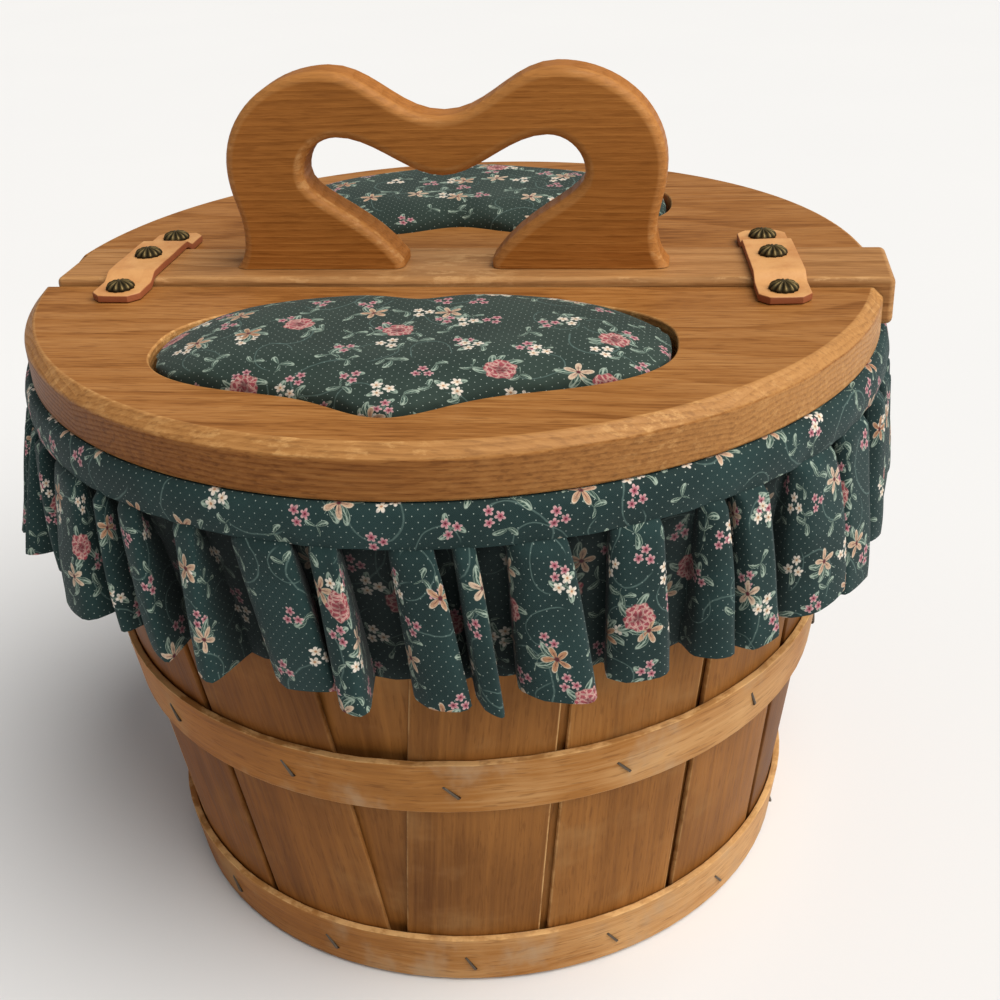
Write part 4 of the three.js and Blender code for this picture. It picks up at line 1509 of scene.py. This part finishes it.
@dataclass
class PaddedInsert:
    """Cloth-covered pad that swells out of a lid's cut-out."""

    finishes: Finishes
    side: Side
    heart: Heart
    floor: float = 246.4 * MM
    shoulder: float = 252.0 * MM
    rim: float = 259.2 * MM
    end_from: float = 60.0 * MM
    end_over: float = 30.0 * MM
    end_drop: float = 1.6 * MM
    top: float = 269.0 * MM
    voxel: float = 3.6 * MM
    pressure: float = 3.0
    cap: float = 2.5 * MM
    frames: int = 20
    clearance: float = 0.5 * MM

    def build(self) -> None:
        """Copies the solid's form, fills it out, and lets the cloth swell."""
        name = f"pad_{self.side.word()}"
        edge = self.heart.points(self.side, -self.clearance, 0.0)
        wall = Outline(edge, self.heart.middle(self.side, 0.0))
        bench = Bench(name).adopt(bpy.data.objects[name].data).close()
        bench.apply("REMESH", mode="VOXEL", voxel_size=self.voxel)
        bench.open().shape(lambda co: self._filled(wall, co)).close()
        self._swell(bench, wall)
        bench.apply("SUBSURF", levels=1, render_levels=1)
        bench.dress(self.finishes.plan_print).smooth(80, False)
        pad = bench.mount(self.side.body(), [name], "printed_cloth")

    def _filled(self, wall: "Outline", co: Vector) -> Vector:
        """Lifts a point of the solid's upper side to a fuller crown."""
        share = min(wall.share(co), 1.0)
        bowl = min(self.heart.bowl(self.side, co), 1.0)
        at_end = ease((abs(co.x - wall.middle.x) - self.end_from) / self.end_over)
        fullness = (1 - share**9) ** 0.5 * (1 - bowl**3.6) ** 0.62
        crown = lerp(self.rim - self.end_drop * at_end, self.top, fullness)
        lifted = ease((co.z - self.floor) / (self.shoulder - self.floor))
        return Vector((co.x, co.y, lerp(co.z, crown, lifted)))

    def _swell(self, bench: Bench, wall: "Outline") -> None:
        """Blows the pad up as cloth held at its foot.

        Args:
            bench: The pad's bench, in object mode.
            wall: Outline of the cut-out that it stays inside.
        """
        pad = bench.piece
        held = pad.vertex_groups.new(name="held")
        foot = self.floor + 0.6 * self.voxel
        held.add([v.index for v in pad.data.vertices if v.co.z < foot], 1.0, "REPLACE")
        start = [v.co.copy() for v in pad.data.vertices]
        cloth = pad.modifiers.new("Cloth", "CLOTH")
        cloth.settings.quality = 5
        cloth.settings.use_pressure = True
        cloth.settings.uniform_pressure_force = self.pressure
        cloth.settings.vertex_group_mass = "held"
        cloth.settings.effector_weights.gravity = 0
        cloth.point_cache.frame_end = self.frames
        for number in range(1, self.frames + 1):
            bpy.context.scene.frame_set(number)
        bpy.context.view_layer.objects.active = pad
        bpy.ops.object.modifier_apply(modifier=cloth.name)
        bpy.context.scene.frame_set(1)
        pad.vertex_groups.clear()
        for vertex, before in zip(pad.data.vertices, start):
            moved = vertex.co - before
            if moved.length > self.cap:
                vertex.co = before + moved.normalized() * self.cap
            vertex.co = wall.inside(vertex.co)
            vertex.co.z = max(self.floor, min(vertex.co.z, self.top))


@dataclass
class Outline:
    """Closed outline in plan that keeps points inside it."""

    points: list[Vector]
    middle: Vector

    def share(self, co: Vector) -> float:
        """Tells how far out a point is, from 0 at the middle to 1 on the outline."""
        ray = self._ray(co)
        near = max(self.points, key=lambda p: ray.dot(self._ray(p)))
        return math.hypot(co.x - self.middle.x, co.y - self.middle.y) / (near.xy - self.middle.xy).length

    def _ray(self, co: Vector) -> Vector:
        """Gives the direction from the middle to a point, in plan."""
        return Vector((co.x - self.middle.x, co.y - self.middle.y)).normalized()

    def inside(self, co: Vector) -> Vector:
        """Gives a point back, drawn in to the outline where it lies beyond it."""
        near = min(self.points, key=lambda p: (p.x - co.x) ** 2 + (p.y - co.y) ** 2)
        at = self.points.index(near)
        ahead = self.points[(at + 1) % len(self.points)]
        behind = self.points[at - 1]
        along = Vector((ahead.x - behind.x, ahead.y - behind.y, 0)).normalized()
        outward = Vector((along.y, -along.x, 0))
        if outward.dot(near - self.middle) < 0:
            outward = -outward
        beyond = outward.dot(Vector((co.x - near.x, co.y - near.y, 0)))
        return co - outward * beyond if beyond > 0 else co


@dataclass
class CentreBar:
    """Bar across the rim that carries the handle."""

    finishes: Finishes
    low: Vector = field(default_factory=lambda: Vector((-162.5, -25.0, 243.5)) * MM)
    high: Vector = field(default_factory=lambda: Vector((174.5, 15.0, 262.5)) * MM)
    ease: float = 2.5 * MM
    rubbed: float = 48.0 * MM
    columns: int = 15

    def build(self) -> None:
        """Makes the board and eases its edges."""
        bench = Bench("centre_bar").box(self.low, self.high).all().bevel(self.ease, 4)
        half_length = (self.high.x - self.low.x) / 2
        bench.edges(lambda a, b: abs(a.x - b.x) > half_length).subdivide(self.columns)
        bench.paint("wear", self._wear)
        bench.close().dress(self.finishes.bar).smooth(34)
        bench.mount("basket", ["centre_bar"], "lid_wood")

    def _wear(self, co: Vector) -> float:
        """Tells how rubbed a place is: on the edges, at the ends and between the handle's feet."""
        corners = zip(co, self.low, self.high)
        near = [min(at - low, high - at) < 0.98 * self.ease for at, low, high in corners]
        if sum(near) > 1:
            return 0.9
        return 0.8 if near[0] else 0.8 * math.exp(-((co.x / self.rubbed) ** 2))


@dataclass
class HeartHandle:
    """Board cut to the top of a heart, standing on the bar.

    Outline values are in millimetres above the bar. A pull is how far a curve's handle reaches from its
    point, and two pulls are those of the curves before and after the point.
    """

    finishes: Finishes
    thickness: float = 19.0 * MM
    round: float = 4.0 * MM
    base: float = 262.8 * MM
    middle: float = -5.0 * MM
    top: float = 78.0
    hump: float = 45.0
    hump_pulls: Point = (22.0, 18.0)
    dip_top: float = 60.0
    dip_top_pull: float = 18.0
    dip_under: float = 37.0
    dip_under_pull: float = 14.0
    half_width: float = 87.6
    widest: float = 39.5
    side_pulls: Point = (10.5, 22.8)
    waist: Point = (83.7, 14.2)
    waist_pull: float = 9.5
    foot: float = 88.5
    foot_pull: float = 3.0
    toe: Point = (18.0, 3.0)
    toe_pull: Point = (14.0, 20.0)
    hole_hump: Point = (41.5, 52.3)
    hole_hump_pulls: Point = (8.0, 15.0)
    hole_side: Point = (56.0, 38.0)
    hole_side_pulls: Point = (10.5, 7.6)
    sink: float = 12.0
    steps: int = 9

    def half_outside(self) -> list[Point]:
        """Traces the right half of the outer edge, from the foot to the dip."""
        foot, hump, side = (self.foot, 0.0), (self.hump, self.top), (self.half_width, self.widest)
        waist_x, waist_z = self.waist
        below, above = self.side_pulls
        outward, inward = self.hump_pulls
        leaving = (self.foot - self.foot_pull, self.foot_pull)
        traced = [foot, *bezier(foot, leaving, (waist_x, waist_z / 2), self.waist, self.steps)]
        leaving = (waist_x, waist_z + self.waist_pull)
        traced += bezier(self.waist, leaving, (side[0], side[1] - below), side, self.steps)
        coming = (self.hump + outward, self.top)
        traced += bezier(side, (side[0], side[1] + above), coming, hump, 2 * self.steps)
        leaving, coming = (self.hump - inward, self.top), (self.dip_top_pull, self.dip_top)
        traced += bezier(hump, leaving, coming, (0, self.dip_top), self.steps)
        return traced

    def half_hole(self) -> list[Point]:
        """Traces the right half of the hole's edge, from the toe to the dip."""
        side_x, side_z = self.hole_side
        hump_x, hump_z = self.hole_hump
        below, above = self.hole_side_pulls
        outward, inward = self.hole_hump_pulls
        leaving = (self.toe[0] + self.toe_pull[0], self.toe[1] + self.toe_pull[1])
        traced = [self.toe, *bezier(self.toe, leaving, (side_x, side_z - below), self.hole_side, self.steps)]
        leaving, coming = (side_x, side_z + above), (hump_x + outward, hump_z)
        traced += bezier(self.hole_side, leaving, coming, self.hole_hump, self.steps)
        leaving, coming = (hump_x - inward, hump_z), (self.dip_under_pull, self.dip_under)
        traced += bezier(self.hole_hump, leaving, coming, (0, self.dip_under), self.steps)
        return traced

    def outline(self) -> list[Vector]:
        """Joins the halves into one closed outline on the board's back face."""
        outer, inner = self.half_outside(), self.half_hole()
        mirrored = lambda points: [(-x, z) for x, z in points]
        flat = [(self.foot + self.sink, -self.sink), *outer, *mirrored(outer)[-2::-1]]
        flat += [(-self.foot - self.sink, -self.sink), (-self.toe[0], -self.sink), *mirrored(inner)]
        flat += [*inner[-2::-1], (self.toe[0], -self.sink)]
        back = self.middle + self.thickness / 2
        return [Vector((x * MM, back, self.base + z * MM)) for x, z in flat]

    def build(self) -> None:
        """Cuts the board, rounds its edges and trims its feet."""
        points = self.outline()
        back = points[0].y
        front = back - self.thickness
        bench = Bench("handle").ring(len(points), 0.1, Vector((0, back, 0)), math.pi / 2).outline(points)
        bench.all().extrude((0, -self.thickness, 0)).weld()
        flush = lambda a, b, y: abs(a.y - y) < MICRON and abs(b.y - y) < MICRON
        bench.edges(lambda a, b: flush(a, b, front) or flush(a, b, back)).bevel(self.round, 6)
        rounded = lambda co: HAIR < min(co.y - front, back - co.y) < 0.98 * self.round
        bench.paint("wear", lambda co: 1.0 if rounded(co) else 0.0)
        bench.bisect(Vector((0, 0, self.base)), Vector((0, 0, -1))).weld()
        bench.close().dress(self.finishes.handle).smooth(34)
        bench.mount("basket", ["handle"], "lid_wood")


@dataclass
class StrapHinges:
    """Leather straps over the bar, each nailed to the bar and to both lids."""

    finishes: Finishes
    reach: float = 129.0 * MM
    bar_y: float = -5.0 * MM
    left_splay: float = 0.5
    right_splay: float = 5.0
    half_length: float = 41.5 * MM
    half_width: float = 10.0 * MM
    thickness: float = 3.0 * MM
    edge_round: float = 0.45 * MM
    clip: float = 4.0 * MM
    puff: float = 0.25 * MM
    rows: int = 29
    columns: int = 5
    on_lid: float = 259.7 * MM
    on_bar: float = 262.8 * MM
    ramp_top: float = 18.75 * MM
    ramp_foot: float = 26.0 * MM
    bend_from: float = 15.5 * MM
    bend_to: float = 25.0 * MM
    nail_pitch: float = 32.5 * MM
    nail_radius: float = 5.8 * MM
    nail_height: float = 3.2 * MM
    nail_gap: float = 0.1 * MM
    nail_steps: int = 96
    nail_rings: tuple[Point, ...] = (
        (1.0, 0.0),
        (1.0, 0.16),
        (0.97, 0.36),
        (0.88, 0.58),
        (0.72, 0.78),
        (0.52, 0.91),
        (0.3, 0.98),
        (0.12, 1.0),
    )
    flutes: int = 12
    flute_from: float = 0.12
    flute_over: float = 0.4
    flute_squeeze: float = 0.075
    flute_sink: float = 0.2

    def build(self) -> None:
        """Makes both straps and their nails."""
        nail = self._nail()
        for word, sign, splay in (("left", -1, self.left_splay), ("right", 1, self.right_splay)):
            turn = Matrix.Rotation(math.radians(sign * splay), 4, "Z")
            seat = Matrix.Translation((sign * self.reach, self.bar_y, 0)) @ turn
            for side in Side:
                self._half(f"strap_{word}", side, seat)
                place = Vector((0, -side.value * self.nail_pitch, self.on_lid))
                self._drive(nail, f"nail_{word}_{side.word()}", side.body(), seat, place)
            self._drive(nail, f"nail_{word}_bar", "basket", seat, Vector((0, 0, self.on_bar)))
        bpy.data.objects.remove(nail)

    def _half(self, strap: str, side: Side, seat: Matrix) -> None:
        """Makes one strap's half from the middle of the bar to a lid.

        Args:
            strap: The strap's name.
            side: Which lid it reaches.
            seat: Where the strap's middle lies.
        """
        half, deep = self.half_width, self.thickness
        bench = Bench(f"{strap}_{side.word()}")
        bench.box(Vector((-half, 0, 0)), Vector((half, self.half_length, deep)))
        bench.edges(lambda a, b: abs(a.z - b.z) < MICRON and a.y + b.y > MICRON).bevel(self.edge_round, 2)
        bench.edges(lambda a, b: abs(a.y - b.y) > self.half_length / 2).subdivide(self.rows)
        bench.edges(lambda a, b: abs(a.x - b.x) > half).subdivide(self.columns)
        bench.paint("wear", lambda co: 1.0 if co.z < 0.87 * deep else 0.35 if co.z < 0.99 * deep else 0.0)

        def lay(co: Vector) -> Vector:
            """Clips the corner, lays a point over the bar's edge and sets it in place."""
            limit = 1 - max(0.0, co.y - self.half_length + self.clip) / half
            share = (co.y - self.ramp_top) / (self.ramp_foot - self.ramp_top)
            lift = lerp(self.on_bar, self.on_lid, ease(share))
            puff = self.puff * noise.noise(Vector((co.x * 120, co.y * 90, 3.1))) * co.z / deep
            return seat @ Vector((co.x * limit, -side.value * co.y, lift + co.z + puff))

        bench.shape(lay).weld().close().dress(self.finishes.leather).smooth(38)
        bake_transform(bench.piece)
        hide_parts(strap)
        log.info("made %s", bench.name)

    def _nail(self) -> bpy.types.Object:
        """Makes the dome of a fluted nail, its underside at the origin.

        Returns:
            The nail, to be copied.
        """
        bench = Bench("nail").ring(self.nail_steps, self.nail_radius, Vector()).all()
        for (wide, low), (narrow, high) in zip(self.nail_rings, self.nail_rings[1:]):
            bench.extrude((0, 0, (high - low) * self.nail_height)).spread(narrow / wide, Vector())

        def ridge(co: Vector) -> float:
            """Gives how far a point is up a flute's ridge, from 0 to 1."""
            return 0.5 + 0.5 * math.cos(self.flutes * math.atan2(co.y, co.x))

        def flute(co: Vector) -> Vector:
            """Sinks the grooves between the ridges, less towards the middle."""
            out = math.hypot(co.x, co.y) / self.nail_radius
            groove = (1 - ridge(co)) ** 0.8 * ease((out - self.flute_from) / self.flute_over)
            squeeze = 1 - self.flute_squeeze * groove
            return Vector((co.x * squeeze, co.y * squeeze, co.z * (1 - self.flute_sink * groove)))

        bench.paint("wear", lambda co: ridge(co) ** 1.5 if co.z > 0.2 * self.nail_height else 0.0)
        bench.shape(flute).weld().close().dress(self.finishes.brass).smooth(60, False)
        return bench.piece

    def _drive(self, nail: bpy.types.Object, name: str, body: str, seat: Matrix, place: Vector) -> None:
        """Copies the nail to its place on a strap.

        Args:
            nail: The nail that is copied.
            name: Name of the solid that the copy stands for.
            body: The body that it rides on.
            seat: Where the strap's middle lies.
            place: Underside of the strap at the nail, from the strap's middle.
        """
        bench = Bench(f"{name}_head")
        lift = Vector((0, 0, self.thickness + self.nail_gap))
        bench.piece = copied(nail, bench.name, seat @ Matrix.Translation(place + lift))
        bench.mount(body, [name], "antique_brass")


@dataclass
class RimBand:
    """Cloth band folded over the rim: a short leg outside and a longer one inside."""

    finishes: Finishes
    wall: SlatWall
    bottom: float = 225.1 * MM
    top: float = 240.1 * MM
    inner_end: float = 210.1 * MM
    outer_stand: float = 5.5 * MM
    inner_stand: float = 10.5 * MM
    shoulder: float = 1.6 * MM
    belly: float = 1.6 * MM
    kick: float = 2.6 * MM
    gather: float = 0.7 * MM
    gather_waves: float = 22.0
    thickness: float = 0.7 * MM
    columns: int = 720
    rows: int = 40

    def build(self) -> None:
        """Cuts the band, wraps it over the rim and gives it thickness."""
        corners = self._section()
        runs = run_lengths(corners)
        depth = runs[-1]
        length = math.tau * (self.wall.outside(self.top) + self.outer_stand)
        bench = Bench("rim_band_cloth").cut(self.columns, self.rows, length, depth)

        def wrap(co: Vector) -> Vector:
            """Lays a point of the flat cut over the rim."""
            angle = 180 + 360 * co.x / length
            radius, height = follow(corners, runs, co.y)
            up = min(1.0, co.y / (self.top - self.bottom))
            turn, waves = math.radians(angle), self.gather_waves
            gather = noise.noise(Vector((waves * math.sin(turn), waves * math.cos(turn), 4 * co.y / depth)))
            swell = self.belly * math.sin(math.pi * up) + self.kick * (1 - up)
            return at_angle(angle, radius + swell + self.gather * gather * (1 - up), height)

        bench.shape(wrap).weld().close()
        bench.apply("SOLIDIFY", thickness=self.thickness, offset=-1.0)
        bench.dress(self.finishes.strip_print).smooth(80, False)
        band = bench.mount("basket", ["rim_band"], "printed_cloth")

    def _section(self) -> list[Point]:
        """Traces the band's section from its outer edge over the rim.

        Returns:
            Radius and height of each corner.
        """
        outside = lambda z: self.wall.outside(z) + self.outer_stand
        inside = lambda z: self.wall.outside(z) - self.inner_stand
        under, inset = self.top - self.shoulder, 0.3 * self.shoulder
        return [
            (outside(self.bottom), self.bottom),
            (outside(under), under),
            (outside(under) - inset, self.top - inset),
            (outside(under) - self.shoulder, self.top),
            (inside(under) + self.shoulder, self.top),
            (inside(under) + inset, self.top - inset),
            (inside(under), under),
            (inside(self.inner_end), self.inner_end),
        ]


@dataclass(frozen=True)
class Fold:
    """One fold of the ruffle: a tube of cloth that stands out beside a flat hollow."""

    start: float
    width: float
    tube: float
    depth: float
    tuck: float
    lean: float
    tilt: float
    slant: float

    def section(self, share: float, opened: float) -> Point:
        """Traces the fold's section.

        Args:
            share: Share of the cloth along the fold.
            opened: How far the fold is open, from 0 at the seam to 1 at the hem.

        Returns:
            Share of the fold's width, and depth as a share of its full depth.
        """
        edge, tuck = 1 - self.tube, self.tuck * opened
        corners = [(0.0, 0.0), (0.5 * edge, 0.08), (edge, 0.0), (edge - tuck, 0.55), (edge + 0.08, 0.88)]
        corners += [(1 - 0.45 * self.tube, 0.96), (0.98, 1.0), (1 + tuck, 0.84), (1.0, 0.0)]
        runs = run_lengths([(across, 0.75 * rise) for across, rise in corners])
        across, rise = follow(corners, runs, share * runs[-1])
        return across + self.lean * opened * rise, rise


@dataclass
class Ruffle:
    """Gathered ruffle sewn under the band, which falls in deep uneven folds.

    Pairs are the least and the most of what differs from fold to fold. Angles are in degrees, from the
    front towards the right.
    """

    finishes: Finishes
    wall: SlatWall
    top: float = 227.2 * MM
    drop: float = 60.4 * MM
    seam_radius: float = 171.6 * MM
    crest_radius: float = 176.2 * MM
    hem_radius: float = 185.0 * MM
    hollow_radius: float = 161.5 * MM
    hoop_bottom: float = 213.5 * MM
    hoop_stand: float = 3.9 * MM
    wall_stand: float = 1.2 * MM
    folds: int = 46
    widths: Point = (0.45, 1.7)
    tubes: Point = (0.27, 0.7)
    depths: Point = (0.66, 1.0)
    tucks: Point = (0.0, 0.16)
    leans: Point = (-0.2, 0.3)
    tilts: Point = (0.2, 3.8)
    slants: Point = (-7.0 * MM, 7.0 * MM)
    left: float = -75.0
    right: float = 62.0
    hem_swing: float = 5.0 * MM
    hem_flare: float = 5.0 * MM
    crest_drift: float = 1.6 * MM
    hollow_drift: float = 2.0 * MM
    seam_dip: float = 1.0 * MM
    pucker: float = 0.8 * MM
    steps: int = 26
    rows: int = 28
    thickness: float = 0.6 * MM

    def plan_folds(self) -> list[Fold]:
        """Shares the round out among folds of uneven width, depth and lean.

        Returns:
            The folds, in order round the basket.
        """
        widths = [lerp(*self.widths, chance(n, Draw.FOLD_WIDTH) ** 1.4) for n in range(self.folds)]
        scale = 360 / sum(widths)
        folds, start = [], 0.0
        for n, width in enumerate(widths):
            folds.append(
                Fold(
                    start=start,
                    width=width * scale,
                    tube=lerp(*self.tubes, chance(n, Draw.FOLD_TUBE)),
                    depth=lerp(*self.depths, chance(n, Draw.FOLD_DEPTH)),
                    tuck=lerp(*self.tucks, chance(n, Draw.FOLD_TUCK)),
                    lean=lerp(*self.leans, chance(n, Draw.FOLD_LEAN)),
                    tilt=lerp(*self.tilts, chance(n, Draw.FOLD_TILT)),
                    slant=lerp(*self.slants, chance(n, Draw.FOLD_SLANT)),
                )
            )
            start += width * scale
        return folds

    def build(self) -> None:
        """Cuts the strip, gathers it into folds and gives it thickness."""
        folds = self.plan_folds()
        columns = self.folds * self.steps
        hem = [self._place(folds, column / columns, 1.0) for column in range(columns + 1)]
        runs = list(accumulate(((b - a).length for a, b in zip(hem, hem[1:])), initial=0.0))
        length = runs[-1]
        bench = Bench("ruffle_cloth").cut(columns, self.rows, length, self.drop)
        bench.chart(Chart.FLAT_CUT.value, lambda co: (runs[round(co.x / length * columns)], co.y))
        # paints the number 'hollow': painted shade between the folds
        bench.paint("hollow", lambda co: self._hollow(folds, co.x / length, 1 - co.y / self.drop))
        bench.shape(lambda co: self._place(folds, co.x / length, 1 - co.y / self.drop)).weld().close()
        bench.apply("SMOOTH", factor=0.5, iterations=1)
        bench.apply("SOLIDIFY", thickness=self.thickness, offset=0.0)
        bench.dress(self.finishes.strip_print).smooth(80, False)
        cloth = bench.mount("basket", ["ruffle"], "printed_cloth")

    def _fold_at(self, folds: list[Fold], round_share: float) -> tuple[int, Fold, float]:
        """Finds the fold at a share of the way round, with its number and the share of its cloth."""
        counted = min(max(round_share, 0.0) * self.folds, self.folds - 1e-9)
        return int(counted), folds[int(counted)], counted - int(counted)

    def _hollow(self, folds: list[Fold], round_share: float, down: float) -> float:
        """Gives the painted shade deep between the folds, from 0 on a crest to 1: stronger towards the front
        left, away from the sun, and lighter towards the hem.
        """
        _, fold, share = self._fold_at(folds, round_share)
        rise = fold.section(share, 1.0)[1]
        # the painted shade is stronger towards the front left, away from the sun
        dusk = lerp(0.84, 1.12, max(0.0, math.cos(math.radians(fold.start - 120))))
        return min(1.0, dusk * ease((0.92 - rise) / 0.75) * lerp(1.0, 0.78, max(down, 0.0)))

    def _place(self, folds: list[Fold], round_share: float, down: float) -> Vector:
        """Places a point of the gathered cloth.

        Args:
            folds: The folds round the basket.
            round_share: Share of the way round, from 0 to 1, in equal steps to a fold.
            down: Share of the way from the seam to the hem.

        Returns:
            The point in the row frame.
        """
        number, fold, share = self._fold_at(folds, round_share)
        down = max(down, 0.0)
        across, rise = fold.section(share, down**0.7)
        beside = folds[(number + (1 if share > 0.5 else -1)) % self.folds]
        tilt = lerp(fold.tilt, beside.tilt, abs(share - 0.5))
        angle = fold.start + across * fold.width - 180
        angle += tilt * down * lerp(1.0, 0.2, ease((angle + 40) / 70))
        turn = math.radians(angle)
        left = max(0.0, math.cos(turn - math.radians(self.left))) ** 2
        right = max(0.0, math.cos(turn - math.radians(self.right))) ** 8
        hang = self.drop + fold.slant * rise * (across - 0.7) + self.hem_swing * (right - 1.8 * left)
        height = self.top - hang * down
        drift = noise.noise(Vector((7 * math.sin(turn), 7 * math.cos(turn), 2.2 * down)))
        ripple = math.sin(math.tau * (3 * share + chance(number, Draw.PUCKER)))
        pucker = ripple * math.exp(-7 * abs(down - 0.08))
        crest = lerp(self.crest_radius, self.hem_radius, down**0.85)
        crest += (self.hem_flare * left + self.crest_drift * drift) * down
        hollow = lerp(self.seam_radius - self.seam_dip, self.hollow_radius, down**0.9)
        hollow += self.hollow_drift * drift * down
        radius = lerp(hollow, crest, rise * lerp(1.0, fold.depth, down)) + self.pucker * pucker
        radius = lerp(self.seam_radius, radius, ease(down / 0.06))
        stand = self.hoop_stand if height > self.hoop_bottom - 2 * MM else self.wall_stand
        return at_angle(angle, max(radius, self.wall.outside(height) + stand), height)


@dataclass
class Studio:
    """Pale floor, soft lights and the camera."""

    eye: Vector = field(default_factory=lambda: Vector((0.099002, -0.536583, 0.439184)))
    pitch: float = 28.048
    yaw: float = -8.979
    roll: float = -2.957
    lens: float = 49.316
    sensor: float = 36.0
    sun: float = 1.22
    softness: float = 62.0
    sunlight: tuple[float, float, float] = (1.0, 0.975, 0.94)
    towards_sun: Vector = field(default_factory=lambda: Vector((0.56, -0.2, 0.8)))
    sky: float = 0.26
    skylight: Colour = (0.97, 0.985, 1.0, 1.0)
    floor_size: float = 14.0
    floor_drop: float = 0.4 * MM
    paper: Colour = (0.76, 0.76, 0.76, 1)
    paper_light: Colour = (0.78, 0.78, 0.775, 1)

    def build(self) -> None:
        """Makes the floor, the lights and the camera."""
        self._floor()
        self._lights()
        self._camera()

    def _floor(self) -> None:
        """Lays a large pale floor just under the basket."""
        bpy.ops.object.select_all(action="DESELECT")
        bpy.ops.mesh.primitive_plane_add(size=self.floor_size, location=(0, 0, -self.floor_drop))
        floor = bpy.context.view_layer.objects.active
        floor.name = "floor"
        shader = Shader("floor_paper")
        cloud = shader.noise(shader.place(), (3, 3, 3), 2.0)
        shader.set(Base_Color=shader.mix(cloud, self.paper, self.paper_light), Roughness=0.9)
        floor.data.materials.append(shader.material)

    def _lights(self) -> None:
        """Sets a soft sun, high and to the right, in a plain white room."""
        light = bpy.data.lights.new("key_light", "SUN")
        light.energy = self.sun * math.pi
        light.angle = math.radians(self.softness)
        light.color = self.sunlight
        rig = bpy.data.objects.new("key_light", light)
        rig.rotation_mode = "QUATERNION"
        rig.rotation_quaternion = (-self.towards_sun).to_track_quat("-Z", "Y")
        bpy.context.scene.collection.objects.link(rig)
        world = bpy.data.worlds.new("studio")
        world.use_nodes = True
        sky = next(n for n in world.node_tree.nodes if n.type == "BACKGROUND")
        sky.inputs["Color"].default_value = self.skylight
        sky.inputs["Strength"].default_value = self.sky
        bpy.context.scene.world = world
        bpy.context.scene.view_settings.view_transform = "Standard"

    def _camera(self) -> None:
        """Stands the camera where the photograph was taken."""
        a, b, r = (math.radians(x) for x in (self.pitch, self.yaw, self.roll))
        ahead = Vector((math.cos(a) * math.sin(b), math.cos(a) * math.cos(b), -math.sin(a)))
        right = Vector((math.cos(b), -math.sin(b), 0))
        up = right.cross(ahead)
        right, up = right * math.cos(r) + up * math.sin(r), up * math.cos(r) - right * math.sin(r)
        data = bpy.data.cameras.new("camera")
        data.lens = self.lens
        data.sensor_width = self.sensor
        data.sensor_fit = "HORIZONTAL"
        camera = bpy.data.objects.new("camera", data)
        basis = Matrix((right, up, -ahead)).transposed().to_4x4()
        camera.matrix_world = Matrix.Translation(self.eye) @ basis
        bpy.context.scene.collection.objects.link(camera)
        bpy.context.scene.camera = camera


def main() -> None:
    """Builds the basket piece by piece in its studio."""
    logging.basicConfig(level=logging.INFO, format="%(name)s: %(message)s")
    finishes = Finishes()
    wall = SlatWall(finishes)
    wall.build()
    heart = Heart()
    for side in Side:
        HalfLid(finishes, side, heart).build()
        PaddedInsert(finishes, side, heart).build()
    CentreBar(finishes).build()
    HeartHandle(finishes).build()
    StrapHinges(finishes).build()
    RimBand(finishes, wall).build()
    Ruffle(finishes, wall).build()
    Studio().build()


if __name__ == "__main__":
    main()
